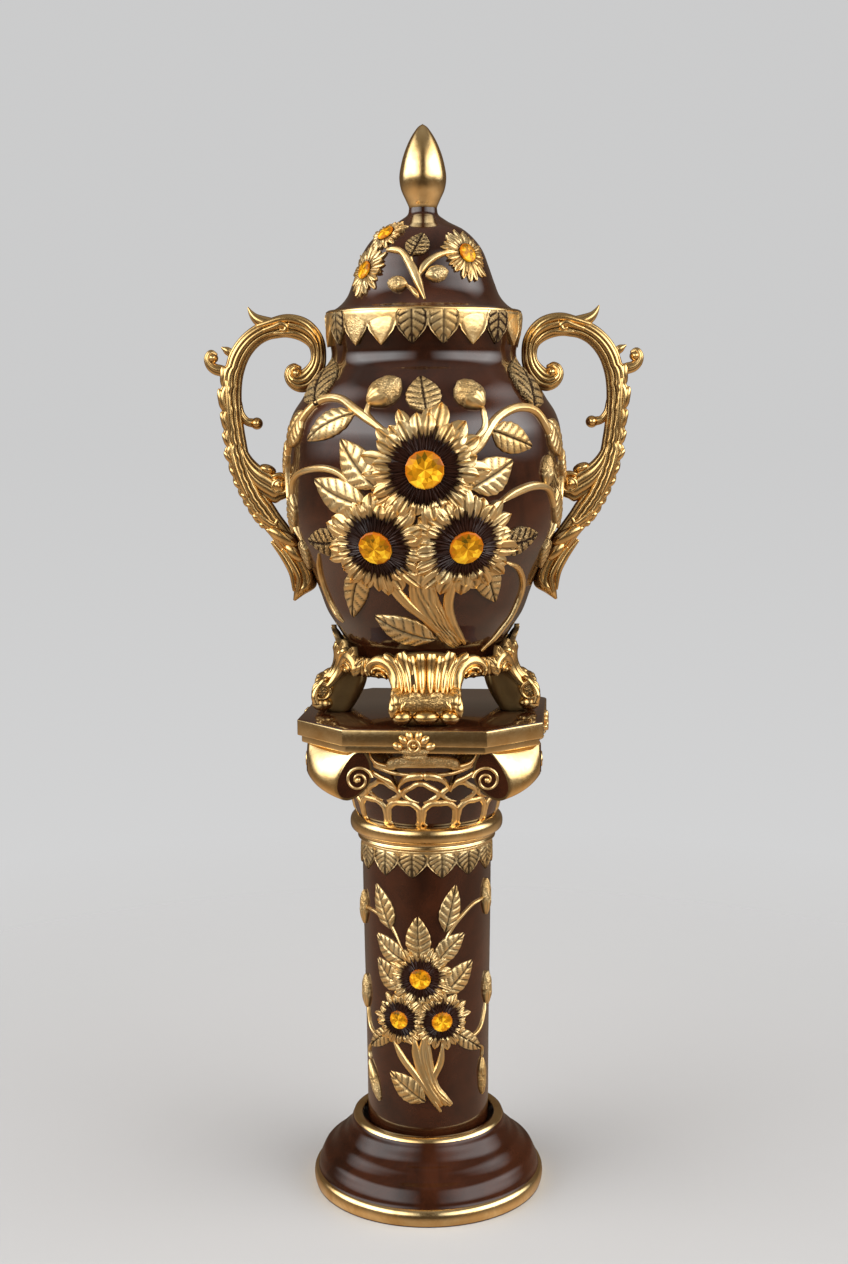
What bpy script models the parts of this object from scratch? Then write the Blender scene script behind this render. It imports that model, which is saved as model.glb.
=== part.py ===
"""Footed tureen: a lidded urn with two scroll handles in a four-footed stand, on a column.

Metres, +Z up, the front faces -Y.  The origin is the centre of the underside.
Angles round the axis are in degrees from the front, positive towards +X.
"""
import math

import bmesh
import bpy
from mathutils import Matrix, Vector

# ---------------------------------------------------------------- driving sizes
JOINT_GAP = 0.0003          # between pieces that touch
JEWEL_SINK = 0.0015         # depth of the pocket that a jewel sits in
JEWEL_GIRDLE = 0.0022
JEWEL_SIDES = 8
SOCKET_HEIGHT = 0.020       # how far the tool that cuts a pocket reaches out
URN_LIFT = 0.0070           # how far the middle of a flower stands off its wall
LID_LIFT = 0.0035
SHAFT_LIFT = 0.0035
SIDES_URN = 24              # flats round the urn, its stand and the base
SIDES_COLUMN = 18           # flats round the lid, the shaft and the capital
URN_LEAF_LIFT = 0.0050      # how far the crest of a leaf stands off its wall
LID_LEAF_LIFT = 0.0030
SHAFT_LEAF_LIFT = 0.0030
CELL_LIFT = 0.0035
PETAL_NOTCH = 0.70          # reach of the notch between two petals, as a share of a petal's
LEAF_WIDEST = 0.42          # where along its length a leaf is widest
URN_STEM_LIFT = 0.0045
LID_STEM_LIFT = 0.0030
SHAFT_STEM_LIFT = 0.0030
SINK = 0.003                # how deep relief is let into the wall that it stands on
BORDER_SINK = 0.0010        # how deep the upper edge of a hanging border is let in
SHARP_FROM = math.radians(40)       # edges sharper than this are drawn as edges
PEDESTAL_TURN = -5.5        # the column stands turned a little under the urn

BASE_TOP = 0.060            # ledge that the shaft stands on
SHAFT_TOP = 0.3757
CAPITAL_FOOT = SHAFT_TOP + JOINT_GAP
PLATE_FOOT = 0.4945
PLATE_TOP = 0.5112
PLATE_HALF = 0.1235         # centre to the middle of a long side of the plate
PLATE_FACE = 0.071          # half the length of a long side
STAND_SOLE = PLATE_TOP + JOINT_GAP
URN_SEAT = 0.5647           # ledge of the stand
URN_FOOT = URN_SEAT + JOINT_GAP
RIM_TOP = 0.916
LID_FOOT = RIM_TOP + JOINT_GAP
TIP_TOP = 1.100

# outlines as (radius, height), from the top down
LID_OUTLINE = (
    (0.0, TIP_TOP), (0.0100, 1.0905), (0.0222, 1.0600), (0.0225, 1.0400), (0.0142, 1.0165),
    (0.0250, 1.0050),
    (0.0430, 0.9950), (0.0600, 0.9760), (0.0665, 0.9580), (0.0785, 0.9280), (0.0905, LID_FOOT + 0.0012),
)
LID_NECK = 4                                # where the drop ends and the dome starts
LID_INSIDE = ((0.0, 0.9840), (0.0550, 0.9600))
LID_FLANGE = (0.0745, 0.0795, 0.898)        # inner radius, outer radius, lower edge

URN_OUTLINE = (
    (0.0978, 0.9140), (0.0935, 0.8790), (0.0952, 0.8650), (0.1150, 0.8435), (0.1325, 0.8160),
    (0.1385, 0.7960), (0.1397, 0.7500), (0.1372, 0.7120), (0.1250, 0.6765), (0.1000, 0.6140),
    (0.0840, 0.5880), (0.0710, URN_FOOT),
)
URN_MOUTH = 0.082
URN_INSIDE = ((URN_MOUTH, 0.8680), (0.1300, 0.8050), (0.1280, 0.7000), (0.0600, 0.5850))
URN_FLOOR = 0.577

SHAFT_OUTLINE = ((0.0675, SHAFT_TOP), (0.0668, 0.300), (0.0650, 0.180), (0.0640, BASE_TOP + JOINT_GAP))
SHAFT_BORE = 0.054

BELL_OUTLINE = (
    (0.0930, 0.4890), (0.0900, 0.4670), (0.0735, 0.4050), (0.0800, 0.3970), (0.0800, 0.3880),
    (0.0712, 0.3820), (0.0705, CAPITAL_FOOT),
)
CAPITAL_BORE = 0.046
CAPITAL_BORE_TOP = 0.470
NECK_PLATE = (0.1195, 0.0690, 0.4870, 0.4965)   # half size, half face, underside and top of the thin plate
VOLUTE_FACE = 0.1180                        # centre to the flat spiral faces
# one spiral face as (distance along the face from its middle, height)
VOLUTE_OUTLINE = (
    (0.068, 0.4960), (0.073, 0.4850), (0.080, 0.4670), (0.0855, 0.4540), (0.082, 0.4440), (0.074, 0.4390),
    (0.064, 0.4395), (0.052, 0.4480), (0.052, 0.4960),
)
VOLUTE_ROOT = (0.034, 0.080)                # where a corner scroll meets the bell: along and out
CAPITAL_CELLS = ((12, 1.5, 0.4080, 0.4270, 0.0280), (12, 16.5, 0.4250, 0.4450, 0.0300))

BASE_OUTLINE = (
    (0.0685, 0.0735), (0.0775, 0.0745), (0.0870, 0.0560), (0.1030, 0.0405), (0.1110, 0.0345),
    (0.1200, 0.0165), (0.1210, 0.0),
)
BASE_HOLLOW = ((0.0400, BASE_TOP), (0.1080, 0.0))

# stand: collar outline, then one foot's profile, both as (radius, height)
COLLAR_OUTLINE = (
    (0.0790, 0.5710), (0.0875, 0.5700), (0.0860, 0.5480), (0.0600, 0.5480), (0.0600, URN_SEAT),
    (0.0735, URN_SEAT),
)
FOOT_PROFILE = (
    (0.0880, 0.5750), (0.0890, 0.5600), (0.1010, 0.5430), (0.1060, 0.5240), (0.0990, STAND_SOLE),
    (0.0780, STAND_SOLE), (0.0730, 0.5600),
)
FOOT_WAIST = 0.031                          # half width of a foot
FOOT_ROLL = (0.1063, 0.5330, 0.0120)        # radius out, height and radius of the rolled toes
TOE_WIDTHS = ((-0.0245, 0.0225), (0.0, 0.0250), (0.0245, 0.0225))   # middle and width of each lobe
TOE_SIDES = 5
FAN_RIBS = 5
FAN_LIFT = 0.0035
FAN_DEPTH = 0.0140
# half width, height, drop towards the ends and distance out, at the foot and the top of a fan
FAN_LEVELS = ((0.0220, 0.5480, 0.0, 0.0935), (0.0420, 0.5790, 0.0060, 0.0885))
CREST_TIP = (0.0945, 0.5935)                # tip of the taller leaf on the side feet

# flowers as (angle, height, petal radius, fringe radius, jewel radius); no jewel where it is 0
URN_FLOWERS = (
    (0.0, 0.763, 0.058, 0.035, 0.0185),
    (-20.0, 0.691, 0.051, 0.031, 0.0168),
    (16.5, 0.691, 0.052, 0.031, 0.0168),
)
URN_BACK_FLOWERS = ((180.7, 0.7405, 0.055, 0.032, 0.0),)
LID_FLOWERS = (
    (-55.5, 0.954, 0.026, 0.011, 0.0092),
    (-46.0, 0.989, 0.020, 0.010, 0.0088),
    (41.5, 0.969, 0.026, 0.011, 0.0098),
)
LID_BACK_FLOWERS = ((182.0, 0.962, 0.026, 0.011, 0.0),)
SHAFT_FLOWERS = (
    (-0.8, 0.2424, 0.027, 0.0195, 0.0110),
    (-20.2, 0.1968, 0.025, 0.0185, 0.0102),
    (17.8, 0.1964, 0.026, 0.0195, 0.0110),
)

# leaves as (angle and height of the base, angle and height of the tip, width)
URN_LEAVES = (
    (0.8, 0.815, -1.8, 0.850, 0.034),
    (-29.5, 0.8155, -53.0, 0.789, 0.027),
    (27.0, 0.799, 46.8, 0.7825, 0.030),
    (-18.5, 0.745, -35.0, 0.792, 0.036),
    (17.5, 0.745, 37.0, 0.771, 0.036),
    (-22.0, 0.728, -50.0, 0.753, 0.034),
    (-36.0, 0.694, -58.0, 0.693, 0.030),
    (32.0, 0.689, 55.5, 0.698, 0.030),
    (-30.0, 0.668, -43.0, 0.617, 0.028),
    (28.0, 0.672, 38.5, 0.632, 0.029),
    (6.0, 0.597, -29.0, 0.6195, 0.030),
)
URN_BACK_LEAVES = (
    (160.0, 0.728, 132.0, 0.742, 0.036),
    (201.0, 0.728, 228.0, 0.742, 0.036),
)
LID_LEAVES = ((-10.0, 0.966, 0.3, 0.989, 0.024),)
SHAFT_LEAVES = (
    (-1.0, 0.262, -3.0, 0.308, 0.026),
    (-27.0, 0.292, -45.0, 0.337, 0.023),
    (21.0, 0.291, 31.5, 0.340, 0.022),
    (-14.0, 0.260, -45.5, 0.284, 0.023),
    (13.0, 0.259, 40.5, 0.287, 0.023),
    (-18.0, 0.228, -45.0, 0.258, 0.026),
    (20.0, 0.226, 50.0, 0.256, 0.026),
    (-27.0, 0.182, -58.0, 0.157, 0.018),
    (29.0, 0.184, 62.0, 0.156, 0.018),
    (3.0, 0.110, -32.5, 0.138, 0.026),
)
SHAFT_BACK_LEAVES = (
    (181.1, 0.216, 181.5, 0.262, 0.026),
    (181.0, 0.190, 146.0, 0.200, 0.024),
    (181.0, 0.190, 214.0, 0.200, 0.024),
)

# buds as (angle and height of the base, angle and height of the tip, width, depth)
URN_BUDS = (
    (-24.5, 0.826, -11.0, 0.844, 0.030, 0.011),
    (25.0, 0.822, 15.5, 0.842, 0.030, 0.011),
)
SHAFT_BUDS = (
    (-67.0, 0.287, -67.0, 0.323, 0.014, 0.006),
    (69.0, 0.299, 70.0, 0.337, 0.014, 0.006),
    (-66.0, 0.196, -68.0, 0.232, 0.015, 0.006),
    (74.0, 0.200, 74.0, 0.236, 0.015, 0.006),
)

# stems as (width, points of angle and height)
URN_STEMS = (
    (0.010, ((-6.0, 0.780), (-20.3, 0.806), (-40.0, 0.829), (-52.0, 0.829), (-60.0, 0.815))),
    (0.010, ((6.0, 0.765), (19.2, 0.779), (31.9, 0.812), (46.0, 0.820), (60.0, 0.800))),
    (0.022, ((-2.0, 0.690), (-2.5, 0.646), (4.0, 0.618), (23.5, 0.587))),
    (0.006, ((-56.0, 0.679), (-65.0, 0.645), (-58.0, 0.608))),
    (0.007, ((36.0, 0.674), (57.0, 0.655), (61.0, 0.620), (47.0, 0.578))),
    (0.007, ((-26.0, 0.742), (-38.0, 0.761), (-56.0, 0.761), (-73.0, 0.715))),
    (0.009, ((28.0, 0.727), (42.0, 0.742), (60.0, 0.741), (70.0, 0.715))),
)
URN_BACK_STEMS = ((0.016, ((180.0, 0.690), (181.0, 0.650), (176.0, 0.610))),)
LID_STEMS = (
    (0.0075, ((0.9, 0.9235), (-5.0, 0.944), (-18.0, 0.969), (-35.7, 0.973))),
    (0.006, ((-4.0, 0.945), (2.0, 0.958), (17.0, 0.968))),
)
SHAFT_STEMS = (
    (0.013, ((-2.0, 0.180), (2.0, 0.143), (13.0, 0.113), (30.0, 0.101))),
)
SHAFT_DROPS = (
    (-62.0, 0.140, -45.5, 0.101, 0.013),
    (65.0, 0.145, 66.0, 0.104, 0.012),
)

# leaves that hang round an edge: count, first angle, height of the top, notches and tips, lift
RIM_BORDER = (19, 3.0, 0.9125, 0.8990, 0.8840, 0.0012)
SHAFT_BORDER = (14, -5.5, 0.3727, 0.3615, 0.3480, 0.0008)

# right handle: its middle line as (x, height, width), from the tail to the scroll
HANDLE_DEPTH = 0.022
HANDLE_LINE = (
    (0.1352, 0.6245, 0.003), (0.1300, 0.640, 0.013), (0.1290, 0.660, 0.018), (0.1375, 0.6785, 0.021),
    (0.1515, 0.698, 0.021), (0.1780, 0.737, 0.024), (0.1865, 0.757, 0.024), (0.1965, 0.798, 0.023),
    (0.1985, 0.830, 0.024), (0.1955, 0.850, 0.025), (0.1875, 0.871, 0.026), (0.1720, 0.889, 0.027),
    (0.1475, 0.902, 0.026), (0.1310, 0.902, 0.025), (0.1180, 0.896, 0.022), (0.1085, 0.875, 0.021),
)
HANDLE_EYE = (0.1310, 0.8535)     # centre of the scroll at the upper end
HANDLE_SCROLL = (0.0235, 0.0085, 1.15)   # start and end radius of its middle line, turns
SCROLL_ENTRY = math.pi - 0.62     # where on the scroll the handle's line comes in, in radians
SCROLL_STEPS = 6
SCROLL_WIDTHS = (0.021, 0.014)
HANDLE_KNOB = (0.1475, 0.7425, 0.0125)   # x, height, radius
KNOB_LENGTH = 0.0155
HANDLE_ARM = ((0.1850, 0.762, 0.010), (0.1700, 0.752, 0.018), (0.1560, 0.7425, 0.022))
ARM_DEPTH = 0.018
# the horn on top, the curl outside and the curl inside
HANDLE_CURLS = (
    ((0.1480, 0.904, 0.016), (0.1650, 0.9055, 0.014), (0.1740, 0.914, 0.008), (0.1765, 0.9215, 0.002)),
    ((0.1960, 0.846, 0.012), (0.2080, 0.856, 0.013), (0.2155, 0.868, 0.014), (0.2120, 0.8745, 0.012)),
    ((0.1960, 0.806, 0.014), (0.1800, 0.8035, 0.010), (0.1715, 0.805, 0.011)),
)
CURL_DEPTH = 0.016
HANDLE_BUMPS = ((0.2110, 0.836), (0.2090, 0.806), (0.2070, 0.776))
BUMP_DEPTH = 0.012
BOSS_END = 0.1427
BOSS_LENGTH = 0.010

CLEARANCE = 0.0005          # between the urn's wall and what is fitted round it


# ---------------------------------------------------------------- small helpers
def clear_scene():
    """Empty the scene."""
    for thing in list(bpy.data.objects):
        bpy.data.objects.remove(thing, do_unlink=True)


def material(name, colour, roughness, metallic):
    """A plain Principled material."""
    made = bpy.data.materials.new(name)
    made.use_nodes = True
    shader = made.node_tree.nodes["Principled BSDF"]
    shader.inputs["Base Color"].default_value = (*colour, 1.0)
    shader.inputs["Roughness"].default_value = roughness
    shader.inputs["Metallic"].default_value = metallic
    return made


def finish(bm, name, finish_material):
    """Turn a bmesh into a named object with outward faces."""
    bmesh.ops.recalc_face_normals(bm, faces=bm.faces)
    mesh = bpy.data.meshes.new(name)
    bm.to_mesh(mesh)
    bm.free()
    mesh.shade_smooth()
    mesh.set_sharp_from_angle(angle=SHARP_FROM)
    made = bpy.data.objects.new(name, mesh)
    bpy.context.scene.collection.objects.link(made)
    if finish_material:
        mesh.materials.append(finish_material)
    return made


def helper(bm, name, owner=None):
    """An object that only shapes others, and moves with its owner."""
    made = finish(bm, name, None)
    made.hide_render = True
    made.display_type = "WIRE"
    made.parent = owner
    return made


def turned(outline, sides):
    """A closed solid turned from a closed outline of (radius, height)."""
    bm = bmesh.new()
    corners = [bm.verts.new((r, 0.0, z)) for r, z in outline]
    edges = [bm.edges.new((a, b)) for a, b in zip(corners, corners[1:])]
    if outline[0][0] > 0.0:
        edges.append(bm.edges.new((corners[-1], corners[0])))
    bmesh.ops.spin(bm, geom=corners + edges, angle=math.tau, steps=sides, axis=(0, 0, 1),
                   cent=(0, 0, 0), use_merge=True)
    bmesh.ops.remove_doubles(bm, verts=bm.verts, dist=1e-6)
    bm.transform(Matrix.Rotation(math.pi / sides, 4, "Z"))
    return bm


def add_boolean(target, other, operation):
    """Shape an object with a helper object."""
    step = target.modifiers.new(other.name, "BOOLEAN")
    step.operation = operation
    step.solver = "EXACT"
    step.use_self = True
    step.object = other


# ---------------------------------------------------------------- relief on turned walls
class Wall:
    """The outer face of a turned piece, on which relief is laid."""

    def __init__(self, outline):
        self.line = sorted(outline, key=lambda point: point[1])
        self.runs = [0.0]
        for (r0, z0), (r1, z1) in zip(self.line, self.line[1:]):
            self.runs.append(self.runs[-1] + math.hypot(r1 - r0, z1 - z0))

    def run_at(self, height):
        """Length up the face to a height."""
        for i, ((_, z0), (_, z1)) in enumerate(zip(self.line, self.line[1:])):
            if height <= z1:
                return self.runs[i] + (height - z0) / (z1 - z0) * (self.runs[i + 1] - self.runs[i])
        return self.runs[-1]

    def point(self, run):
        """Radius, height and outward direction at a length up the face."""
        i = 0
        while i < len(self.runs) - 2 and run > self.runs[i + 1]:
            i += 1
        (r0, z0), (r1, z1) = self.line[i], self.line[i + 1]
        span = self.runs[i + 1] - self.runs[i]
        t = (run - self.runs[i]) / span
        return r0 + (r1 - r0) * t, z0 + (z1 - z0) * t, (z1 - z0) / span, (r0 - r1) / span

    def place(self, angle, height, x, y, lift):
        """The point x along and y up the face from an angle and height, lifted off it."""
        r, z, out, up = self.point(self.run_at(height) + y)
        turn = math.radians(angle) + x / r
        reach = r + out * lift
        return Vector((reach * math.sin(turn), -reach * math.cos(turn), z + up * lift))

    def lay(self, bm, angle, height):
        """Wrap a flat piece, modelled round the origin, on to the face."""
        for vert in bm.verts:
            vert.co = self.place(angle, height, vert.co.x, vert.co.y, vert.co.z)

    def offset(self, angle0, height0, angle1, height1):
        """Distance along and up the face between two places."""
        middle = self.point(0.5 * (self.run_at(height0) + self.run_at(height1)))[0]
        return math.radians(angle1 - angle0) * middle, self.run_at(height1) - self.run_at(height0)


def rings_to_solid(bm, rings, closed_ends):
    """Bridge rings of vertices into a skin and close its two ends."""
    for low, high in zip(rings, rings[1:]):
        count = len(low)
        for i in range(count):
            bm.faces.new((low[i], low[(i + 1) % count], high[(i + 1) % count], high[i]))
    if closed_ends:
        bm.faces.new(tuple(reversed(rings[0])))
        bm.faces.new(tuple(rings[-1]))


def flat_leaf(length, width, lift):
    """A pointed leaf lying along +Y, its base at the origin, rising to a crest at its widest place."""
    bm = bmesh.new()
    widest = LEAF_WIDEST * length
    spread = (lift + SINK) / lift
    crest = bm.verts.new((0.0, widest, lift))
    low = [bm.verts.new((x * spread, widest + y * spread, -SINK)) for x, y in (
        (0.0, -widest), (0.5 * width, 0.0), (0.0, length - widest), (-0.5 * width, 0.0))]
    bm.faces.new(tuple(reversed(low)))
    for i in range(4):
        bm.faces.new((low[i], low[(i + 1) % 4], crest))
    return bm


def leaf_on(wall, base_angle, base_height, tip_angle, tip_height, width, lift):
    """A leaf laid on a wall between two places."""
    dx, dy = wall.offset(base_angle, base_height, tip_angle, tip_height)
    bm = flat_leaf(math.hypot(dx, dy), width, lift)
    bm.transform(Matrix.Rotation(math.atan2(dy, dx) - math.pi / 2, 4, "Z"))
    wall.lay(bm, base_angle, base_height)
    return bm


def flower_on(wall, angle, height, petal_radius, fringe_radius, lift, petals):
    """A flower laid on a wall: a ring of pointed petals that slopes up to a flat fringe."""
    bm = bmesh.new()
    spread = (petal_radius - fringe_radius) * (lift + SINK) / lift
    inner, outer = [], []
    for i in range(2 * petals):
        east, north = math.cos(math.pi * i / petals), math.sin(math.pi * i / petals)
        reach = fringe_radius + spread * (1.0 if i % 2 == 0 else PETAL_NOTCH)
        outer.append(bm.verts.new((reach * east, reach * north, -SINK)))
        if i % 2 == 0:
            inner.append(bm.verts.new((fringe_radius * east, fringe_radius * north, lift)))
    bm.faces.new(tuple(reversed(outer)))
    bm.faces.new(tuple(inner))
    for i in range(petals):
        tip, notch, after = outer[2 * i], outer[2 * i + 1], outer[(2 * i + 2) % (2 * petals)]
        near, far = inner[i], inner[(i + 1) % petals]
        bm.faces.new((near, tip, notch))
        bm.faces.new((near, notch, far))
        bm.faces.new((far, notch, after))
    bmesh.ops.triangulate(bm, faces=[face for face in bm.faces if len(face.verts) > 3])
    wall.lay(bm, angle, height)
    return bm


def bud_on(wall, base_angle, base_height, tip_angle, tip_height, width, depth):
    """A rounded bud laid on a wall."""
    dx, dy = wall.offset(base_angle, base_height, tip_angle, tip_height)
    length = math.hypot(dx, dy)
    bm = bmesh.new()
    rings = []
    for along, half in ((0.0, 0.16), (0.45, 0.48), (1.0, 0.26)):
        y, x, top = along * length, half * width, depth * (0.45 + half)
        rings.append([bm.verts.new(place) for place in (
            (-x, y, -SINK), (x, y, -SINK), (0.6 * x, y, top), (-0.6 * x, y, top))])
    rings_to_solid(bm, rings, True)
    bm.transform(Matrix.Rotation(math.atan2(dy, dx) - math.pi / 2, 4, "Z"))
    wall.lay(bm, base_angle, base_height)
    return bm


def ridge(spine, outs, widths, lift, sink):
    """A strip with a peaked back along a line of points, standing off in the given directions."""
    bm = bmesh.new()
    rings = []
    last = len(spine) - 1
    for i, (place, out, width) in enumerate(zip(spine, outs, widths)):
        along = (spine[min(i + 1, last)] - spine[max(i - 1, 0)]).normalized()
        side = along.cross(out).normalized() * (0.5 * width)
        rings.append([bm.verts.new(place + step) for step in (
            -side - out * sink, side - out * sink, out * lift)])
    rings_to_solid(bm, rings, True)
    return bm


def stem_on(wall, width, places, lift):
    """A stem that follows places on a wall."""
    spine = [wall.place(angle, height, 0.0, 0.0, 0.0) for angle, height in places]
    outs = [(wall.place(angle, height, 0.0, 0.0, 0.01) - foot).normalized()
            for (angle, height), foot in zip(places, spine)]
    return ridge(spine, outs, [width] * len(spine), lift, SINK)


def hanging_border(wall, count, phase, top, notch, tip, lift):
    """A ring of leaves that hang from an edge, as one band with a pointed lower edge."""
    bm = bmesh.new()
    rings = []
    for i in range(2 * count):
        angle = phase + 180.0 * i / count
        low = tip if i % 2 == 0 else notch
        rings.append([bm.verts.new(wall.place(angle, height, 0.0, 0.0, off)) for height, off in (
            (top, -BORDER_SINK), (low, lift if i % 2 else 1.6 * lift), (low, -SINK))])
    rings_to_solid(bm, rings + rings[:1], False)
    return bm


def join(parts):
    """One bmesh out of several."""
    whole = bmesh.new()
    for part in parts:
        mesh = bpy.data.meshes.new("part")
        bmesh.ops.recalc_face_normals(part, faces=part.faces)
        part.to_mesh(mesh)
        part.free()
        whole.from_mesh(mesh)
        bpy.data.meshes.remove(mesh)
    return whole


def jewel_ring(bm, reach, level):
    """One ring of a jewel's or a pocket's corners."""
    return [bm.verts.new((reach * math.cos(turn), reach * math.sin(turn), level))
            for turn in (math.tau * i / JEWEL_SIDES for i in range(JEWEL_SIDES))]


def jewel_socket(wall, flower, lift):
    """The shallow round pocket that a jewel sits in."""
    angle, height, _, _, radius = flower
    reach = (radius + JOINT_GAP) / math.cos(math.pi / JEWEL_SIDES)
    bm = bmesh.new()
    rings = [jewel_ring(bm, reach, level) for level in (lift - JEWEL_SINK, lift + SOCKET_HEIGHT)]
    rings_to_solid(bm, rings, True)
    stand_on(bm, wall, angle, height)
    return bm


def stand_on(bm, wall, angle, height):
    """Set a stiff piece on a wall, its Z along the way out."""
    foot = wall.place(angle, height, 0.0, 0.0, 0.0)
    out = (wall.place(angle, height, 0.0, 0.0, 0.01) - foot).normalized()
    side = Vector((math.cos(math.radians(angle)), math.sin(math.radians(angle)), 0.0))
    up = out.cross(side)
    bm.transform(Matrix((
        (side.x, up.x, out.x, foot.x), (side.y, up.y, out.y, foot.y), (side.z, up.z, out.z, foot.z),
        (0, 0, 0, 1))))


def jewel(name, wall, flower, lift, amber):
    """A cut jewel: a table, a sloping crown and a low girdle."""
    angle, height, _, _, radius = flower
    bm = bmesh.new()
    foot = lift - JEWEL_SINK + JOINT_GAP
    levels = ((radius, foot), (radius, foot + JEWEL_GIRDLE), (0.58 * radius, foot + 0.30 * radius))
    rings_to_solid(bm, [jewel_ring(bm, reach, level) for reach, level in levels], True)
    stand_on(bm, wall, angle, height)
    return finish(bm, name, amber)


# ---------------------------------------------------------------- the pieces
def make_lid(brown, wall):
    """The dome with its drop-shaped tip, hollow below, with a flange that locates it."""
    inner, outer, edge = LID_FLANGE
    outline = list(LID_OUTLINE) + [(0.0895, LID_FOOT), (outer, LID_FOOT), (outer, edge), (inner, edge),
                                   (inner, LID_FOOT)] + list(reversed(LID_INSIDE))
    lid = finish(turned(outline, SIDES_COLUMN), "lid", brown)
    relief = [flower_on(wall, a, h, petals, fringe, LID_LIFT, 6)
              for a, h, petals, fringe, _ in LID_FLOWERS + LID_BACK_FLOWERS]
    relief += [leaf_on(wall, *leaf, LID_LEAF_LIFT) for leaf in LID_LEAVES]
    relief += [stem_on(wall, width, places, LID_STEM_LIFT) for width, places in LID_STEMS]
    add_boolean(lid, helper(join(relief), "lid relief"), "UNION")
    sockets = [jewel_socket(wall, flower, LID_LIFT) for flower in LID_FLOWERS]
    add_boolean(lid, helper(join(sockets), "lid sockets"), "DIFFERENCE")
    return lid


def make_urn(brown, wall):
    """The hollow vessel with its relief and the two bosses that the handles butt against."""
    outline = ([(0.0965, RIM_TOP)] + list(URN_OUTLINE) + [(0.0, URN_FOOT), (0.0, URN_FLOOR)]
               + list(reversed(URN_INSIDE)) + [(URN_MOUTH, RIM_TOP)])
    urn = finish(open_turned(outline, SIDES_URN), "urn_body", brown)
    relief = [flower_on(wall, a, h, petals, fringe, URN_LIFT, 8)
              for a, h, petals, fringe, _ in URN_FLOWERS + URN_BACK_FLOWERS]
    relief += [leaf_on(wall, *leaf, URN_LEAF_LIFT) for leaf in URN_LEAVES + URN_BACK_LEAVES]
    relief += [bud_on(wall, *bud) for bud in URN_BUDS]
    relief += [stem_on(wall, width, places, URN_STEM_LIFT) for width, places in URN_STEMS + URN_BACK_STEMS]
    relief.append(hanging_border(wall, *RIM_BORDER))
    relief += [handle_boss(side) for side in (-1, 1)]
    add_boolean(urn, helper(join(relief), "urn relief"), "UNION")
    sockets = [jewel_socket(wall, flower, URN_LIFT) for flower in URN_FLOWERS]
    add_boolean(urn, helper(join(sockets), "urn sockets"), "DIFFERENCE")
    return urn


def open_turned(outline, sides):
    """A turned solid whose outline touches the axis between its two ends."""
    cut = next(i for i, (r, _) in enumerate(outline) if r == 0.0) + 1
    return turned(outline[cut:] + outline[:cut], sides)


def handle_boss(side):
    """The round boss on the urn that a handle's knob meets."""
    _, height, radius = HANDLE_KNOB
    bm = bmesh.new()
    bmesh.ops.create_cone(bm, cap_ends=True, segments=8, radius1=radius, radius2=radius, depth=BOSS_LENGTH)
    place = Matrix.Translation((side * (BOSS_END - 0.5 * BOSS_LENGTH), 0, height))
    bm.transform(place @ Matrix.Rotation(math.pi / 2, 4, "Y"))
    return bm


def swept(line, depth, sides):
    """A tube in the XZ plane along (x, height, width) points, pointed where the width is small."""
    bm = bmesh.new()
    rings = []
    last = len(line) - 1
    for i, (x, z, width) in enumerate(line):
        ahead, behind = line[min(i + 1, last)], line[max(i - 1, 0)]
        along = Vector((ahead[0] - behind[0], 0, ahead[1] - behind[1])).normalized()
        across = Vector((-along.z, 0, along.x))
        thick = depth * min(1.0, width / 0.018)
        rings.append([bm.verts.new(Vector((x, 0, z)) + across * (0.5 * width * math.cos(turn))
                                   + Vector((0, 0.5 * thick * math.sin(turn), 0)))
                      for turn in (math.tau * (k + 0.5) / sides for k in range(sides))])
    rings_to_solid(bm, rings, True)
    return bm


def make_handle(name, side, gold, keep_clear):
    """A cast scroll handle, butted against the urn at its scroll, its knob and its lower leaf."""
    start, end, turns = HANDLE_SCROLL
    eye_x, eye_z = HANDLE_EYE
    scroll = []
    for i in range(1, SCROLL_STEPS + 1):
        share = i / SCROLL_STEPS
        turn = SCROLL_ENTRY + math.tau * turns * share
        reach = start + (end - start) * share
        width = SCROLL_WIDTHS[0] + (SCROLL_WIDTHS[1] - SCROLL_WIDTHS[0]) * share
        scroll.append((eye_x + reach * math.cos(turn), eye_z + reach * math.sin(turn), width))
    line = list(HANDLE_LINE) + scroll
    knob_x, knob_z, knob = HANDLE_KNOB
    bm = bmesh.new()
    bmesh.ops.create_cone(bm, cap_ends=True, segments=8, radius1=knob, radius2=0.8 * knob,
                          depth=KNOB_LENGTH)
    place = Matrix.Translation((BOSS_END + JOINT_GAP + 0.5 * KNOB_LENGTH, 0, knob_z))
    bm.transform(place @ Matrix.Rotation(math.pi / 2, 4, "Y"))
    parts = [bm, swept(line, HANDLE_DEPTH, 6), swept(HANDLE_ARM, ARM_DEPTH, 6)]
    parts += [swept(curl, CURL_DEPTH, 5) for curl in HANDLE_CURLS]
    for x, z in HANDLE_BUMPS:
        bump = ((x - 0.006, z + 0.009, 0.006), (x, z, 0.010), (x - 0.006, z - 0.009, 0.006))
        parts.append(swept(bump, BUMP_DEPTH, 4))
    whole = join(parts)
    whole.transform(Matrix.Scale(side, 4, (1, 0, 0)))
    if side < 0:
        bmesh.ops.reverse_faces(whole, faces=whole.faces)
    handle = finish(whole, name, gold)
    add_boolean(handle, keep_clear, "DIFFERENCE")
    return handle


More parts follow.
